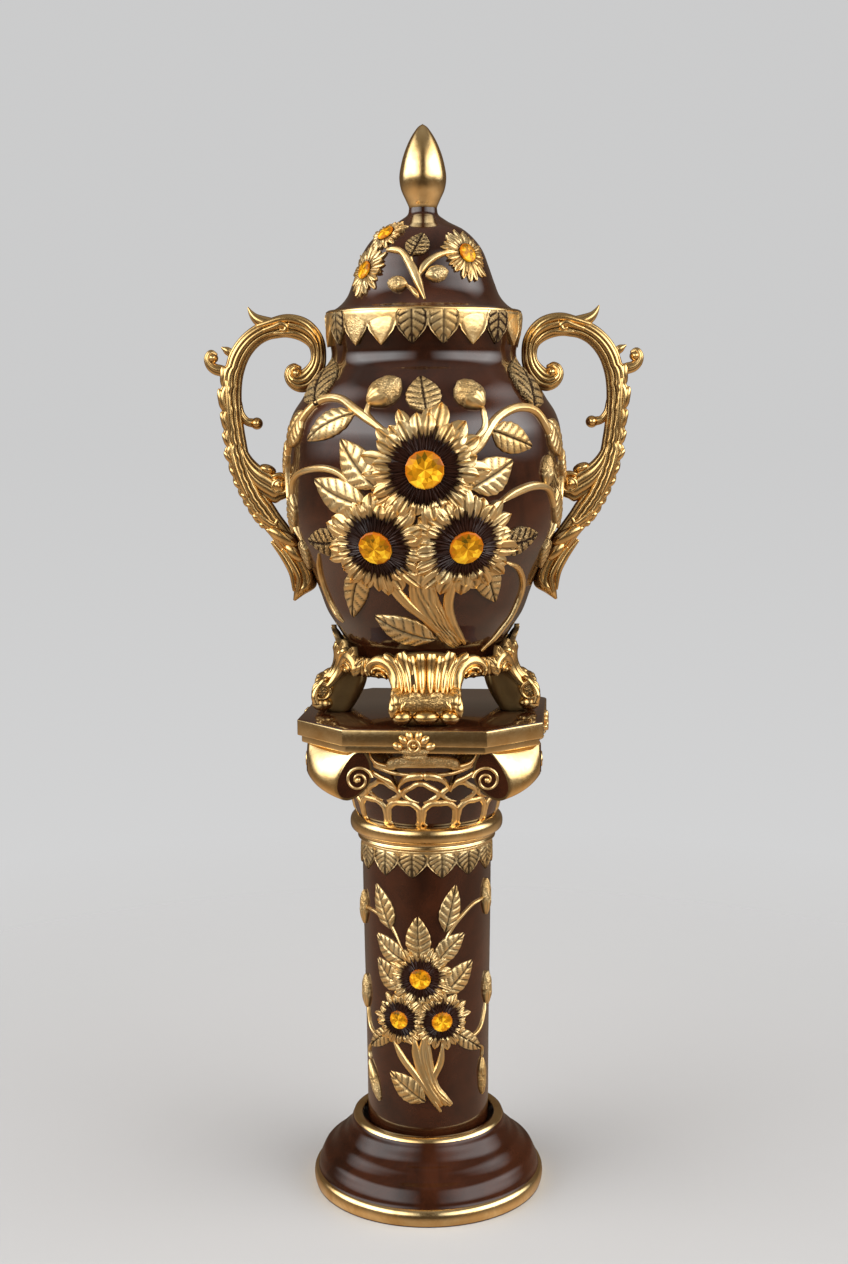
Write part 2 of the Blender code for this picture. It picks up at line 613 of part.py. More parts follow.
def make_shaft(brown, wall):
    """The tube of the column with its relief."""
    outline = list(SHAFT_OUTLINE) + [(SHAFT_BORE, SHAFT_OUTLINE[-1][1]), (SHAFT_BORE, SHAFT_TOP)]
    shaft = finish(turned(outline, SIDES_COLUMN), "shaft", brown)
    relief = [flower_on(wall, a, h, petals, fringe, SHAFT_LIFT, 6)
              for a, h, petals, fringe, _ in SHAFT_FLOWERS]
    leaves = SHAFT_LEAVES + SHAFT_BACK_LEAVES + SHAFT_DROPS
    relief += [leaf_on(wall, *leaf, SHAFT_LEAF_LIFT) for leaf in leaves]
    relief += [bud_on(wall, *bud) for bud in SHAFT_BUDS]
    relief += [stem_on(wall, width, places, SHAFT_STEM_LIFT) for width, places in SHAFT_STEMS]
    relief.append(hanging_border(wall, *SHAFT_BORDER))
    add_boolean(shaft, helper(join(relief), "shaft relief", shaft), "UNION")
    sockets = [jewel_socket(wall, flower, SHAFT_LIFT) for flower in SHAFT_FLOWERS]
    add_boolean(shaft, helper(join(sockets), "shaft sockets", shaft), "DIFFERENCE")
    return shaft


def plate(half, face, bottom, top):
    """A square plate with its corners cut off."""
    corners = []
    for quarter in range(4):
        spin = Matrix.Rotation(quarter * math.pi / 2, 4, "Z")
        corners += [spin @ Vector((-face, -half, 0)), spin @ Vector((face, -half, 0))]
    bm = bmesh.new()
    rings = [[bm.verts.new((place.x, place.y, level)) for place in corners] for level in (bottom, top)]
    rings_to_solid(bm, rings, True)
    return bm


def volute(quarter):
    """A corner scroll: the spiral face on one side runs round the corner to the next side."""
    bm = bmesh.new()
    along, out = VOLUTE_ROOT
    places = [(x, VOLUTE_FACE, z) for x, z in VOLUTE_OUTLINE[:-1]]
    places += [(along, out, VOLUTE_OUTLINE[-2][1]), (along, out, VOLUTE_OUTLINE[-1][1])]
    places.append((VOLUTE_OUTLINE[-1][0], VOLUTE_FACE, VOLUTE_OUTLINE[-1][1]))
    rings = [[bm.verts.new((x, -y, z)) for x, y, z in places],
             [bm.verts.new((y, -x, z)) for x, y, z in places]]
    rings_to_solid(bm, rings, False)
    for ring in rings:
        bm.faces.new(ring[:-3] + ring[-1:])
        bm.faces.new(ring[-4:])
    bm.transform(Matrix.Rotation(quarter * math.pi / 2, 4, "Z"))
    return bm


def make_capital(gold, wall):
    """The capital: cut-corner plate, four corner scrolls, leafy bell and round necking."""
    outline = ([(0.0930, PLATE_FOOT)] + list(BELL_OUTLINE) + [(CAPITAL_BORE, CAPITAL_FOOT),
               (CAPITAL_BORE, CAPITAL_BORE_TOP), (0.0, CAPITAL_BORE_TOP), (0.0, PLATE_FOOT)])
    capital = finish(open_turned(outline, SIDES_COLUMN), "capital", gold)
    parts = [plate(PLATE_HALF, PLATE_FACE, PLATE_FOOT, PLATE_TOP), plate(*NECK_PLATE)]
    parts += [volute(quarter) for quarter in range(4)]
    for count, phase, low, high, width in CAPITAL_CELLS:
        angles = [phase + 360.0 * i / count for i in range(count)]
        parts += [leaf_on(wall, angle, low, angle, high, width, CELL_LIFT) for angle in angles]
    add_boolean(capital, helper(join(parts), "capital carving", capital), "UNION")
    return capital


def foot(quarter, crested):
    """One acanthus foot: a curved block with rolled toes, fanned ribs and, at the sides, a crest."""
    bm = bmesh.new()
    rings = [[bm.verts.new((x, -r, z)) for r, z in FOOT_PROFILE] for x in (-FOOT_WAIST, FOOT_WAIST)]
    rings_to_solid(bm, rings, True)
    parts = [bm]
    out, height, radius = FOOT_ROLL
    for middle, width in TOE_WIDTHS:
        bm = bmesh.new()
        rings = []
        for along, reach in ((-0.5, 0.62), (0.0, 1.0), (0.5, 0.62)):
            rings.append([bm.verts.new((middle + along * width, -out + radius * reach * math.cos(turn),
                                        height + radius * reach * math.sin(turn)))
                          for turn in (math.tau * i / TOE_SIDES for i in range(TOE_SIDES))])
        rings_to_solid(bm, rings, True)
        parts.append(bm)
    parts.append(fan())
    for side in (-1, 1):
        line = ((side * 0.0300, -0.0950, 0.535, 0.008), (side * 0.0360, -0.0930, 0.558, 0.009),
                (side * 0.0520, -0.0775, 0.5612, 0.008))
        parts.append(rib(line, 0.0040, 0.008))
    if crested:
        tip_r, tip_z = CREST_TIP
        parts.append(rib(((0.0003, -0.0893, 0.5647, 0.030), (0.0003, -0.0893, 0.5803, 0.022),
                          (0.0003, -tip_r + 0.002, tip_z, 0.010)), 0.002, 0.006))
    for part in parts:
        part.transform(Matrix.Rotation(quarter * math.pi / 2, 4, "Z"))
    return parts


def fan():
    """The ribbed leaf that fans out over the front foot."""
    bm = bmesh.new()
    rings = []
    for half, height, drop, out in FAN_LEVELS:
        ring = [bm.verts.new((0.0, -out + FAN_DEPTH, height - 0.5 * drop))]
        for i in range(2 * FAN_RIBS + 1):
            lean = i / FAN_RIBS - 1
            reach = out + (FAN_LIFT if i % 2 else 0.0)
            ring.append(bm.verts.new((half * lean, -reach, height - drop * lean * lean)))
        rings.append(ring)
    rings_to_solid(bm, rings, False)
    for ring in rings:
        for one, other in zip(ring[1:], ring[2:]):
            bm.faces.new((ring[0], one, other))
    return bm


def rib(line, lift, sink):
    """A raised rib on the front foot through (x, y, height, width) points, standing off the axis."""
    spine = [Vector(point[:3]) for point in line]
    outs = [Vector((place.x, place.y, 0.0)).normalized() for place in spine]
    return ridge(spine, outs, [point[3] for point in line], lift, sink)


def make_stand(gold, keep_clear):
    """The stand: a collar under the urn on four feet, the side ones with a taller leaf."""
    stand = finish(turned(COLLAR_OUTLINE, SIDES_URN), "foot_stand", gold)
    parts = []
    for quarter in range(4):
        parts += foot(quarter, quarter % 2 == 1)
    add_boolean(stand, helper(join(parts), "feet"), "UNION")
    add_boolean(stand, keep_clear, "DIFFERENCE")
    return stand


def make_base(brown):
    """The stepped round base of the column, hollow below."""
    outline = ([(0.0685, BASE_TOP)] + list(BASE_OUTLINE) + list(reversed(BASE_HOLLOW)))
    return finish(turned(outline, SIDES_URN), "pedestal_base", brown)


def main():
    clear_scene()
    brown = material("brown glaze", (0.045, 0.018, 0.012), 0.08, 0.0)
    gold = material("gold lustre", (0.72, 0.48, 0.18), 0.22, 1.0)
    amber = material("amber glass", (0.85, 0.36, 0.02), 0.03, 0.0)
    urn_wall = Wall(URN_OUTLINE)
    lid_wall = Wall(LID_OUTLINE[LID_NECK:])
    shaft_wall = Wall(SHAFT_OUTLINE)
    bell_wall = Wall(BELL_OUTLINE[:3])
    make_lid(brown, lid_wall)
    make_urn(brown, urn_wall)
    for wall, flowers, lift, where in (
            (urn_wall, URN_FLOWERS, URN_LIFT, "urn"), (lid_wall, LID_FLOWERS, LID_LIFT, "lid")):
        for i, flower in enumerate(flowers):
            jewel(f"jewel_{where}_{i + 1}", wall, flower, lift, amber)
    clear = [(0.0, RIM_TOP)] + [(r + CLEARANCE, z) for r, z in URN_OUTLINE] + [(0.0, URN_FOOT)]
    keep_clear = helper(turned(clear, SIDES_URN), "room for the urn")
    make_handle("handle_left", -1, gold, keep_clear)
    make_handle("handle_right", 1, gold, keep_clear)
    make_stand(gold, keep_clear)
    column = [make_base(brown), make_shaft(brown, shaft_wall), make_capital(gold, bell_wall)]
    column += [jewel(f"jewel_shaft_{i + 1}", shaft_wall, flower, SHAFT_LIFT, amber)
               for i, flower in enumerate(SHAFT_FLOWERS)]
    for piece in column:
        piece.rotation_euler.z = math.radians(PEDESTAL_TURN)


main()
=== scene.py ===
"""Footed tureen: a lidded urn with two scroll handles in a four-footed stand, on a column.

Metres, +Z up, the front faces -Y.  Angles round the axis are in degrees from the front,
positive towards +X.  Every piece stands for a CAD node or rides beside one.
"""
import bisect
import math
import random
from math import cos, pi, sin, sqrt, tau

import bmesh
import bpy
from mathutils import Matrix, Vector


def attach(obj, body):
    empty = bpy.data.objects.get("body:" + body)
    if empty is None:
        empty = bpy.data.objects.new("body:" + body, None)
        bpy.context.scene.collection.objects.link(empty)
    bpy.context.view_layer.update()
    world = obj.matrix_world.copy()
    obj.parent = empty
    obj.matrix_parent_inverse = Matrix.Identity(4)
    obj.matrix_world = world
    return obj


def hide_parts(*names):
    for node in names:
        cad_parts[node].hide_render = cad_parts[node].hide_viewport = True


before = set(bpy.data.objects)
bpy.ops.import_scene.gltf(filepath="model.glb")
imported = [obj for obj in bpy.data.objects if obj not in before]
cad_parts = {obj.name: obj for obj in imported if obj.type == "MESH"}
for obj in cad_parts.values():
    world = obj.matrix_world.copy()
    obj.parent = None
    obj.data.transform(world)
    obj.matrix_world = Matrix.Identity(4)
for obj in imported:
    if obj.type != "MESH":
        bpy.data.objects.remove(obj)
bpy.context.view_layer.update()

bl_info = {
    "name": "Footed tureen",
    "version": (1, 0, 0),
    "blender": (4, 5, 0),
    "location": "View3D > Sidebar > Tureen",
    "description": "A lidded urn with scroll handles, in a footed stand on a column",
    "category": "Add Mesh",
}

X, Y, Z = Vector((1, 0, 0)), Vector((0, 1, 0)), Vector((0, 0, 1))
SIDES = (-1, 1)
SINK = 0.0030               # how deep relief is let into the wall that carries it
COLUMN_TURN = -5.5          # the column stands turned a little under the urn
TURN_STEPS = 144            # steps of a full turn on the turned pieces
SMALL_DISC = 0.012          # flowers with a smaller disc than this have no fringe


# ---------------------------------------------------------------- tables
def entry(columns, words):
    """Numbers from words: one letter for each column, where m is a length in millimetres."""
    return tuple(float(word) / (1000.0 if letter == "m" else 1.0) for letter, word in zip(columns, words))


def rows(columns, text):
    """A table from text; besides m, columns are angles (a) and shares (s)."""
    words, count = text.split(), len(columns)
    return [entry(columns, words[i:i + count]) for i in range(0, len(words), count)]


def lines(head, columns, text):
    """One entry for each line of text: the values of its head, then its points."""
    return [(*entry(head, line.split()), rows(columns, " ".join(line.split()[len(head):])))
            for line in text.strip().splitlines()]


# outlines as (radius, height), from the top down
DROP = rows("mm", """
    0 1100  4 1097.5  8.5 1092  16.5 1077  22 1059  23.5 1048  22 1037  16.5 1024.5  14 1018  14.3 1013""")
DOME = rows("mm", """
    14 1018  15 1012.6  22 1006.7  43 995  59 977  66 959.5  71.5 944  77.5 930  86.5 920.5  90.5 918""")
DOME_INSIDE = rows("mm", "70 926  64 940  58 956.5  50 972  34 987  0 990")
LID_FLANGE = rows("mm", "90.5 916.8  79.5 916.6  79.5 898  74.5 898")
URN = rows("mm", """
    97.8 914  97.2 902  94.5 884  93.2 874  95.2 865  104.5 854.5  115 843.5  124 829  132.5 816  137.2 803
    139.2 782  139.6 755  139 733  137 712  132 692  125 676.5  115.5 655.5  107.5 634  100 614  92 601  84 588
    76 577  71 565""")
URN_INSIDE = rows("mm", """
    0 577  50 577.5  82 603  99.5 633  117 676  129 716  131.5 755  130 799  123.5 818  112 836  97.5 850
    86 864  82 880  82 914.5  83.5 916""")
URN_FOOT = rows("mm", "66 565  64 567  0 567")
URN_LIP = rows("mm", "97.2 913.6  98.6 914.3  98.4 915.7  96.8 916.8  92.5 916.5  92.5 915")
# bosses that take the handles, as (distance from the axis, radius)
BOSS = rows("mm", "134 13.5  138.5 13.5  140 12.5  140.8 10.5  142 10.5  142.6 9.5  142.6 1")
BOSS_HEIGHT = 0.7425
SHAFT = rows("mm", "67.5 375.7  66.8 300  65 180  64 60.3")
SHAFT_BORE = 0.0540
BELL = rows("mm", "94 489  91 470  84 445  76.5 422  72 403")
BELL_TOP = rows("mm", "0 490  93 490")
BELL_INSIDE = rows("mm", "69 401  65 376  46 376  46 470  0 470")
TORUS = rows("mm", """
    70 404  74.5 402  78.5 398.5  79.7 393  78.5 387.5  74.5 384.5  71.2 383  70.8 380  72 378  70.5 376""")
TORUS_INSIDE = rows("mm", "64 376  66 403")
BASE = rows("mm", """
    69 70  70.5 73.8  74 74.6  78 73.8  80.5 70  82.2 65  86.2 58.5  90 53  95.5 49  100 43.8  104 39.8
    110 36.5  114 29.2  116.2 24  118 18  120.8 15  121.5 8  120.5 0""")
BASE_INSIDE = rows("mm", "107 0  98 24  78 44  40 50  40 60  69 60")
BASE_RING = rows("mm", """
    69.3 69  69.8 73.5  71.5 75.2  74.2 75.7  77 75.1  79.2 73.5  80 71.2  78 70""")
BASE_FOOT = rows("mm", """
    118.5 0.4  120 0.4  120.8 1.2  121.5 3  122.1 6  122.4 9.5  122 13  120.8 15.8  118.6 17.8  116 17.8""")
# gold rings laid on a wall: lower and upper edge, how far they stand out
RIM_BAND = (0.8985, 0.9140, 0.0007)
SHAFT_BAND = (0.3690, 0.3755, 0.0006)

# how wide a leaf, a petal and so on is along its length
LEAF = rows("ss", """
    0 .1  .04 .16  .1 .48  .22 .84  .38 1  .55 .95  .72 .72  .87 .38  .96 .14  1 .02""")
HEART = rows("ss", "0 .8  .08 .96  .25 1  .43 .96  .58 .8  .75 .5  .9 .2  1 .02")
LEAFLET = rows("ss", "0 .8  .1 .97  .25 1  .45 .88  .62 .64  .8 .34  .93 .11  1 .02")
PETAL = rows("ss", "0 .6  .3 .88  .55 1  .75 .92  .89 .62  .97 .28  1 .06")
SPIKE = rows("ss", "0 .7  .35 1  .65 .7  1 .05")
EGG = rows("ss", "0 .12  .08 .42  .25 .8  .5 1  .75 .88  .92 .5  1 .08")
BLOCK = rows("ss", "0 .72  .08 .92  .4 1  .75 .97  .92 .8  1 .46")
ALMOND = rows("ss", "0 .06  .15 .55  .35 .92  .5 1  .65 .92  .85 .55  1 .06")

# flowers: angle, height, reach of the petals, radius of the dark disc, radius of the jewel if there is one
URN_FLOWERS = rows("ammmm", """
    0 763 60 36.5 18.5  -20 691 54.5 33.5 16.8  16.5 691 55.5 33.5 16.8  180.7 740.5 55 32 0""")
LID_FLOWERS = rows("ammmm", """
    -55.5 954 27.5 10 9.2  -46 989 21.5 9 8.8  41.5 969 28.5 10 9.8  182 962 26 11 0""")
SHAFT_FLOWERS = rows("ammmm", "-0.8 242.4 34 22.2 11  -20.2 196.8 30 20 10.2  17.8 196.4 31.5 21 11")
# leaves: angle and height of the base, angle and height of the tip, width, how stippled
URN_LEAVES = rows("amamms", """
    0.8 815 -1.8 850 34 .35  -29.5 815.5 -53 789 27 0  27 799 46.8 782.5 30 .15  -18.5 745 -35 792 36 0
    17.5 745 37 771 36 0  -22 728 -50 753 34 0  -36 694 -58 693 30 .7  32 689 55.5 698 30 .8
    -30 668 -43 617 28 .1  28 672 38.5 632 29 .2  6 597 -29 619.5 30 .1  -54 823 -79 871 46 .7
    53 819 78 871 46 .7  -62 818 -74 782 34 0  62 808 74 772 34 0  -71 738 -77 696 28 .1  69 742 77 700 28 .1
    -80 790 -84 752 22 0  80 780 84 744 22 0  -70 690 -76 660 20 .3  70 690 76 660 20 .3  160 728 132 742 36 0
    201 728 228 742 36 0  180 788 180 832 34 .2  160 758 136 790 34 0  202 758 226 790 34 0
    162 712 140 682 34 .3  199 712 221 682 34 .3""")
LID_LEAVES = rows("amamms", "-10.3 966 0.2 989 24 .8")
SHAFT_LEAVES = rows("amamms", """
    -1 262 -3 308 26 0  -27 292 -45 337 23 0  21 291 31.5 340 22 0  -14 260 -45.5 284 23 0  13 259 40.5 287 23 0
    -18 228 -45 258 26 .1  20 226 50 256 26 .1  -27 182 -58 157 18 .2  29 184 62 156 18 .2  3 110 -32.5 138 26 0
    181.1 216 181.5 262 26 0  181 190 146 215 24 0  181 190 214 215 24 0  180 142 150 165 24 0""")
# buds: angle and height of the base, angle and height of the tip, width, depth
URN_BUDS = rows("amammm", "-24.5 824 -11 845 31 12  25 820 15.5 843 31 12  57.5 744 59 774 16 7")
LID_BUDS = rows("amammm", "1.5 946.5 20 950.5 18 6  -12 938.5 -28 939.5 17 6")
SHAFT_BUDS = rows("amammm", """
    -67 287 -67 323 14 6  69 299 70 337 14 6  -66 196 -68 232 15 6  74 200 74 236 15 6  -62 140 -45.5 101 13 5
    65 145 66 104 12 5""")
# stems: width, then points of angle and height
URN_STEMS = lines("m", "am", """
    10   -6 780  -20.3 806  -29.1 818  -40 829  -52 829  -60 815  -64 797
    7   -19 805  -24 815  -23.5 828
    10   6 765  19.2 779  31.9 812  43 820  54.1 817  60 800  64 786
    7   19.5 790  24 800  25 823
    12   -19 668  -17 654  -10 634  1 616  12 600
    11   15 668  13 651  12 631  18 606  27 589
    27   -1 694  -1.5 660  -0.5 638  6 616  15 599  22 588
    6   -56 679  -65 650  -64 628  -58 608
    7   36 674  52 661  61.5 640  60 618  47 578
    5.5   -72 788  -79 770  -80 745  -75 715  -70 690
    5.5   72 778  79 764  80 742  75 715  70 690
    7   -26 742  -36.7 760  -52 762  -70 745  -73 715
    9   28 727  38 739  50 745  60 741  70 715
    16   180 690  181 650  176 610""")
LID_STEMS = lines("m", "am", """
    9.5   0.9 923.5  -5 944  -11 958  -21 971  -35.7 973
    7.8   -4 945  2 958  17 968  30 970
    5.2   -3.2 925  -8 933  -14 938.5
    3.5   -9.5 957  -10.3 966""")
SHAFT_STEMS = lines("m", "am", """
    13.5   3 186  3 164  6 143  13 122  27 104
    10   -7 182  -5 161  0 141  8 121  18 104
    6   -2 160  2 150  5 141
    8   -28 176  -19 156  -6 138  6 118  17 98
    8   19 176  17 152  10 132  18 112  22 104
    4   -15 268  -31 298  -50 306  -63 304  -67 292
    4   15 270  34 302  52 316  66 318
    4   -40 170  -60 176  -67 198
    4   40 170  62 178  73 202
    3.5   -58 160  -65 150  -62 140
    3.5   60 160  66 155  65 145
    8   181 216  180.5 170  178 120""")

# leaves that hang round an edge: count, first angle, height of the top and of the tips, width
RIM_BORDER = (20, -6.8, 0.9139, 0.8815, 0.0302)
SHAFT_BORDER = (14, -7.3, 0.3727, 0.3470, 0.0312)
# how the hanging leaves differ in turn: depth of the veins, painted shade over the whole leaf, grain
RIM_MOODS = rows("sss", """
    1.6 .34 .1  1.4 .16 0  .06 0 0  1.5 .4 .3  .1 0 .1  1.3 .2 0  .05 0 0  1.5 .36 .2  .1 0 .35  .05 0 0""")
SHAFT_MOODS = rows("sss", "2.8 .3 0  2.4 .12 0  3 .42 0")


# ---------------------------------------------------------------- what a user would change
def length(name, description, default):
    return bpy.props.FloatProperty(name=name, description=description, default=default, unit="LENGTH")


def colour(name, description, default):
    return bpy.props.FloatVectorProperty(
        name=name, description=description, subtype="COLOR", default=default, min=0.0, max=1.0)


class TureenSizes(bpy.types.PropertyGroup):
    """Sizes of the fine work."""
    urn_lift: length("Urn flowers", "How far the middle of an urn flower stands off the wall", 0.0070)
    small_lift: length(
        "Small flowers", "How far the middle of a flower on the lid or the column stands off", 0.0035)
    leaf_lift: length("Urn leaves", "How far the crest of an urn leaf stands off the wall", 0.0050)
    small_leaf_lift: length(
        "Small leaves", "How far the crest of a leaf on the lid or the column stands off", 0.0030)
    petals: bpy.props.IntProperty(
        name="Petals", description="Petals in one ring of a large flower", default=20, min=8, max=60)
    flute_depth: bpy.props.FloatProperty(
        name="Flutes", description="Depth of the flutes along the handles, as a share of their width",
        default=0.17, min=0.0, max=0.4)
    handle_depth: length("Handle depth", "Thickness of the handles from front to back", 0.0235)


class TureenColours(bpy.types.PropertyGroup):
    """Colours of the finishes."""
    brown: colour("Brown glaze", "Glossy chocolate glaze", (0.026, 0.0078, 0.0034))
    gold: colour("Gold lustre", "Gold lustre where it is thick", (1.0, 0.77, 0.40))
    old_gold: colour("Deep gold", "Gold lustre where it is thin", (0.90, 0.57, 0.21))
    brass: colour("Handle gold", "Gold of the handles and the stand", (0.97, 0.66, 0.27))
    # painted shade: the dark colour the gold takes in its grooves, gaps and shaded sides
    shadow: colour("Gold hollows", "Dark rest in the grooves of the gold", (0.030, 0.013, 0.005))
    amber: colour("Amber glass", "Bright facets of the jewels", (0.74, 0.30, 0.008))
    ember: colour("Amber rim", "Orange rim of the jewels", (0.58, 0.13, 0.006))
    floor: colour("Studio floor", "Pale floor", (0.62, 0.62, 0.62))


# ---------------------------------------------------------------- lines and walls
def clamp(x):
    """Hold a number between 0 and 1."""
    return min(max(x, 0.0), 1.0)


def dome(x):
    """Height of a half circle at x, from -1 to 1."""
    return sqrt(max(1.0 - x * x, 0.0))


def crowded(u):
    """Crowd a place from -1 to 1 towards the ends, where a domed section is steep."""
    return sin(0.5 * pi * u)


def groove(x, width):
    """1 in the middle of a groove, falling to 0 beside it."""
    return math.exp(-(x / width) ** 2)


def share(table, v):
    """Read a table of (place, value) at a place."""
    for (v0, w0), (v1, w1) in zip(table, table[1:]):
        if v <= v1:
            return w0 + (w1 - w0) * (v - v0) / (v1 - v0)
    return table[-1][1]


def smooth(points, steps):
    """A smooth line through points, with that many steps from each to the next."""
    spots = [Vector(point) for point in points]
    gaps = [max((b - a).length, 1e-9) for a, b in zip(spots, spots[1:])]
    chords = [(b - a) / gap for a, b, gap in zip(spots, spots[1:], gaps)]
    slopes = [(before * far + after * near) / (near + far)
              for before, after, near, far in zip(chords, chords[1:], gaps, gaps[1:])]
    slopes = [chords[0], *slopes, chords[-1]]
    line = []
    for i, gap in enumerate(gaps):
        for t in (k / steps for k in range(steps)):
            line.append(spots[i] * (2 * t ** 3 - 3 * t ** 2 + 1) + spots[i + 1] * (3 * t ** 2 - 2 * t ** 3)
                        + slopes[i] * (gap * (t ** 3 - 2 * t ** 2 + t))
                        + slopes[i + 1] * (gap * (t ** 3 - t ** 2)))
    return line + [spots[-1]]


def step_at(marks, value):
    """The step of a rising list that a value falls in, and how far into it."""
    i = min(max(bisect.bisect_right(marks, value) - 1, 0), len(marks) - 2)
    return i, (value - marks[i]) / (marks[i + 1] - marks[i])


def along_line(line, v):
    """A point and the direction at a share of a line's points."""
    i = min(int(v * (len(line) - 1)), len(line) - 2)
    return line[i].lerp(line[i + 1], v * (len(line) - 1) - i), (line[i + 1] - line[i]).normalized()


def quarter_turns():
    return [Matrix.Rotation(quarter * pi / 2, 4, "Z") for quarter in range(4)]


class Wall:
    """The outer face of a turned piece, on which relief is laid."""

    def __init__(self, outline, turn=0.0, steps=6):
        self.turn = turn
        line = smooth(outline, steps)
        self.line = line if line[0].y < line[-1].y else line[::-1]
        self.heights = [point.y for point in self.line]
        self.runs = [0.0]
        for a, b in zip(self.line, self.line[1:]):
            self.runs.append(self.runs[-1] + (b - a).length)

    def run_at(self, height):
        """Length up the face to a height."""
        i, t = step_at(self.heights, height)
        return self.runs[i] + t * (self.runs[i + 1] - self.runs[i])

    def point(self, run):
        """Radius, height and outward direction at a length up the face."""
        i, t = step_at(self.runs, run)
        (r0, z0), (r1, z1) = self.line[i], self.line[i + 1]
        span = self.runs[i + 1] - self.runs[i]
        return r0 + (r1 - r0) * t, z0 + (z1 - z0) * t, (z1 - z0) / span, (r0 - r1) / span

    def radius(self, height):
        return self.point(self.run_at(height))[0]

    def place(self, angle, run, x=0.0, y=0.0, lift=0.0):
        """The point x along and y up the face from an angle and a run, lifted off it."""
        r, z, out, up = self.point(run + y)
        turn = math.radians(angle + self.turn) + x / r
        reach = r + out * lift
        return Vector((reach * sin(turn), -reach * cos(turn), z + up * lift))

    def aim(self, angle0, height0, angle1, height1):
        """Length and turn of the way from one place on the face to another."""
        dx = math.radians(angle1 - angle0) * self.radius(height1)
        dy = self.run_at(height1) - self.run_at(height0)
        return math.hypot(dx, dy), math.atan2(dy, dx) - pi / 2


URN_WALL = Wall(URN)
DOME_WALL = Wall(DOME)
SHAFT_WALL = Wall(SHAFT, COLUMN_TURN, 10)
BELL_WALL = Wall(BELL, COLUMN_TURN)


# ---------------------------------------------------------------- mesh helpers
BLANKS = {}


def open_edges(bm):
    return [edge for edge in bm.edges if edge.is_boundary]


def blank(across, along):
    """A flat closed patch from -1 to 1 both ways: a grid at height 0 with a hem and a bottom at -1."""
    if (across, along) not in BLANKS:
        bm = bmesh.new()
        bmesh.ops.create_grid(bm, x_segments=across, y_segments=along, size=1.0)
        hem = bmesh.ops.extrude_edge_only(bm, edges=open_edges(bm))["geom"]
        bmesh.ops.translate(bm, verts=[part for part in hem if isinstance(part, bmesh.types.BMVert)], vec=-Z)
        bmesh.ops.holes_fill(bm, edges=open_edges(bm), sides=0)
        BLANKS[(across, along)] = as_mesh(bm, "blank")
    return BLANKS[(across, along)]


def new_piece():
    """An empty bmesh that carries how hollow each point is, which sets its painted shade on gold, and how stippled
    it is.
    """
    bm = bmesh.new()
    bm.verts.layers.float.new("hollow")
    bm.verts.layers.float.new("grain")
    return bm


def as_mesh(bm, name):
    mesh = bpy.data.meshes.new(name)
    bm.to_mesh(mesh)
    bm.free()
    return mesh


def take_in(whole, part, move=None):
    """Put one bmesh into another, moved by a matrix if there is one."""
    if move is not None:
        part.transform(move)
    mesh = as_mesh(part, "part")
    whole.from_mesh(mesh)
    bpy.data.meshes.remove(mesh)


def shaped(part, place):
    """Move every point of a patch or a tube; place(co) gives its new place, how hollow and how stippled."""
    deep, rough = part.verts.layers.float["hollow"], part.verts.layers.float["grain"]
    for vert in part.verts:
        vert.co, vert[deep], vert[rough] = place(vert.co.copy())


def form(whole, across, along, shape):
    """Add a closed patch.  shape(u, v, low) gives a point, how hollow it is and how stippled;
    u runs from -1 to 1, v from 0 to 1, and low is true on the hem."""
    part = new_piece()
    part.from_mesh(blank(across, along))
    shaped(part, lambda co: shape(co.x, 0.5 * co.y + 0.5, co.z < -0.5))
    take_in(whole, part)


def lay(whole, wall, angle, height, turn, across, along, shape, foot=-SINK):
    """Add a patch of relief on a wall.  shape(u, v) gives x, y, lift, hollow and grain; x and y are
    turned and counted from a place on the wall, and the hem reaches down to foot."""
    run = wall.run_at(height)
    east, north = cos(turn), sin(turn)

    def on_wall(u, v, low):
        x, y, lift, hollow, grain = shape(u, v)
        place = wall.place(angle, run, x * east - y * north, x * north + y * east, foot if low else lift)
        # the hem takes full painted shade, so the sides of the relief are shaded dark down to the wall
        return place, 1.0 if low else hollow, grain

    form(whole, across, along, on_wall)


def tube(whole, around, along, place):
    """Add a closed tube.  place(turn, j) gives the point at an angle round it and at a station,
    how hollow and how stippled."""
    part = new_piece()
    bmesh.ops.create_grid(part, x_segments=around, y_segments=along, size=1.0)
    shaped(part, lambda co: place(tau * (round(0.5 * (co.x + 1.0) * around) % around) / around,
                                  round(0.5 * (co.y + 1.0) * along)))
    bmesh.ops.remove_doubles(part, verts=part.verts, dist=1e-7)
    bmesh.ops.holes_fill(part, edges=open_edges(part), sides=0)
    take_in(whole, part)


def sweep(whole, around, spots, section=lambda turn, v: (1.0, 0.0, 0.0)):
    """Add a closed tube through stations of (centre, half width, half depth), the last two as vectors;
    section(turn, v) gives its reach, how hollow and how stippled it is there."""
    def place(turn, j):
        centre, side, out = spots[j]
        reach, hollow, grain = section(turn, j / (len(spots) - 1))
        return centre + (side * cos(turn) + out * sin(turn)) * reach, hollow, grain

    tube(whole, around, len(spots) - 1, place)


def capped(spots):
    """Round off both ends of a line of stations."""
    ends = []
    for (middle, side, out), (inner, _, _) in ((spots[0], spots[1]), (spots[-1], spots[-2])):
        way = (middle - inner).normalized() * side.length
        ends.append([(middle + way * far, side * wide, out * wide)
                     for far, wide in ((0.40, 0.90), (0.75, 0.60), (0.92, 0.15))])
    return ends[0][::-1] + spots + ends[1]


def bead(whole, centre, along, wide, deep, grain=0.0, around=12):
    """An egg-shaped bead: half its length, width and depth as vectors."""
    turns = [pi * (0.04 + 0.92 * i / 8) for i in range(9)]
    sweep(whole, around, [(centre - along * cos(turn), wide * sin(turn), deep * sin(turn)) for turn in turns],
          lambda turn, v: (1.0, 0.0, grain))


def ball(whole, x, z, radius, depth, around=20, y=0.0):
    """A round bead seen from the front, of another depth from front to back."""
    bead(whole, Vector((x, y, z)), Y * depth, X * radius, Z * radius, around=around)


def squared(turn):
    """Reach of a section that is square with round corners."""
    return (abs(cos(turn)) ** 4 + abs(sin(turn)) ** 4) ** -0.25


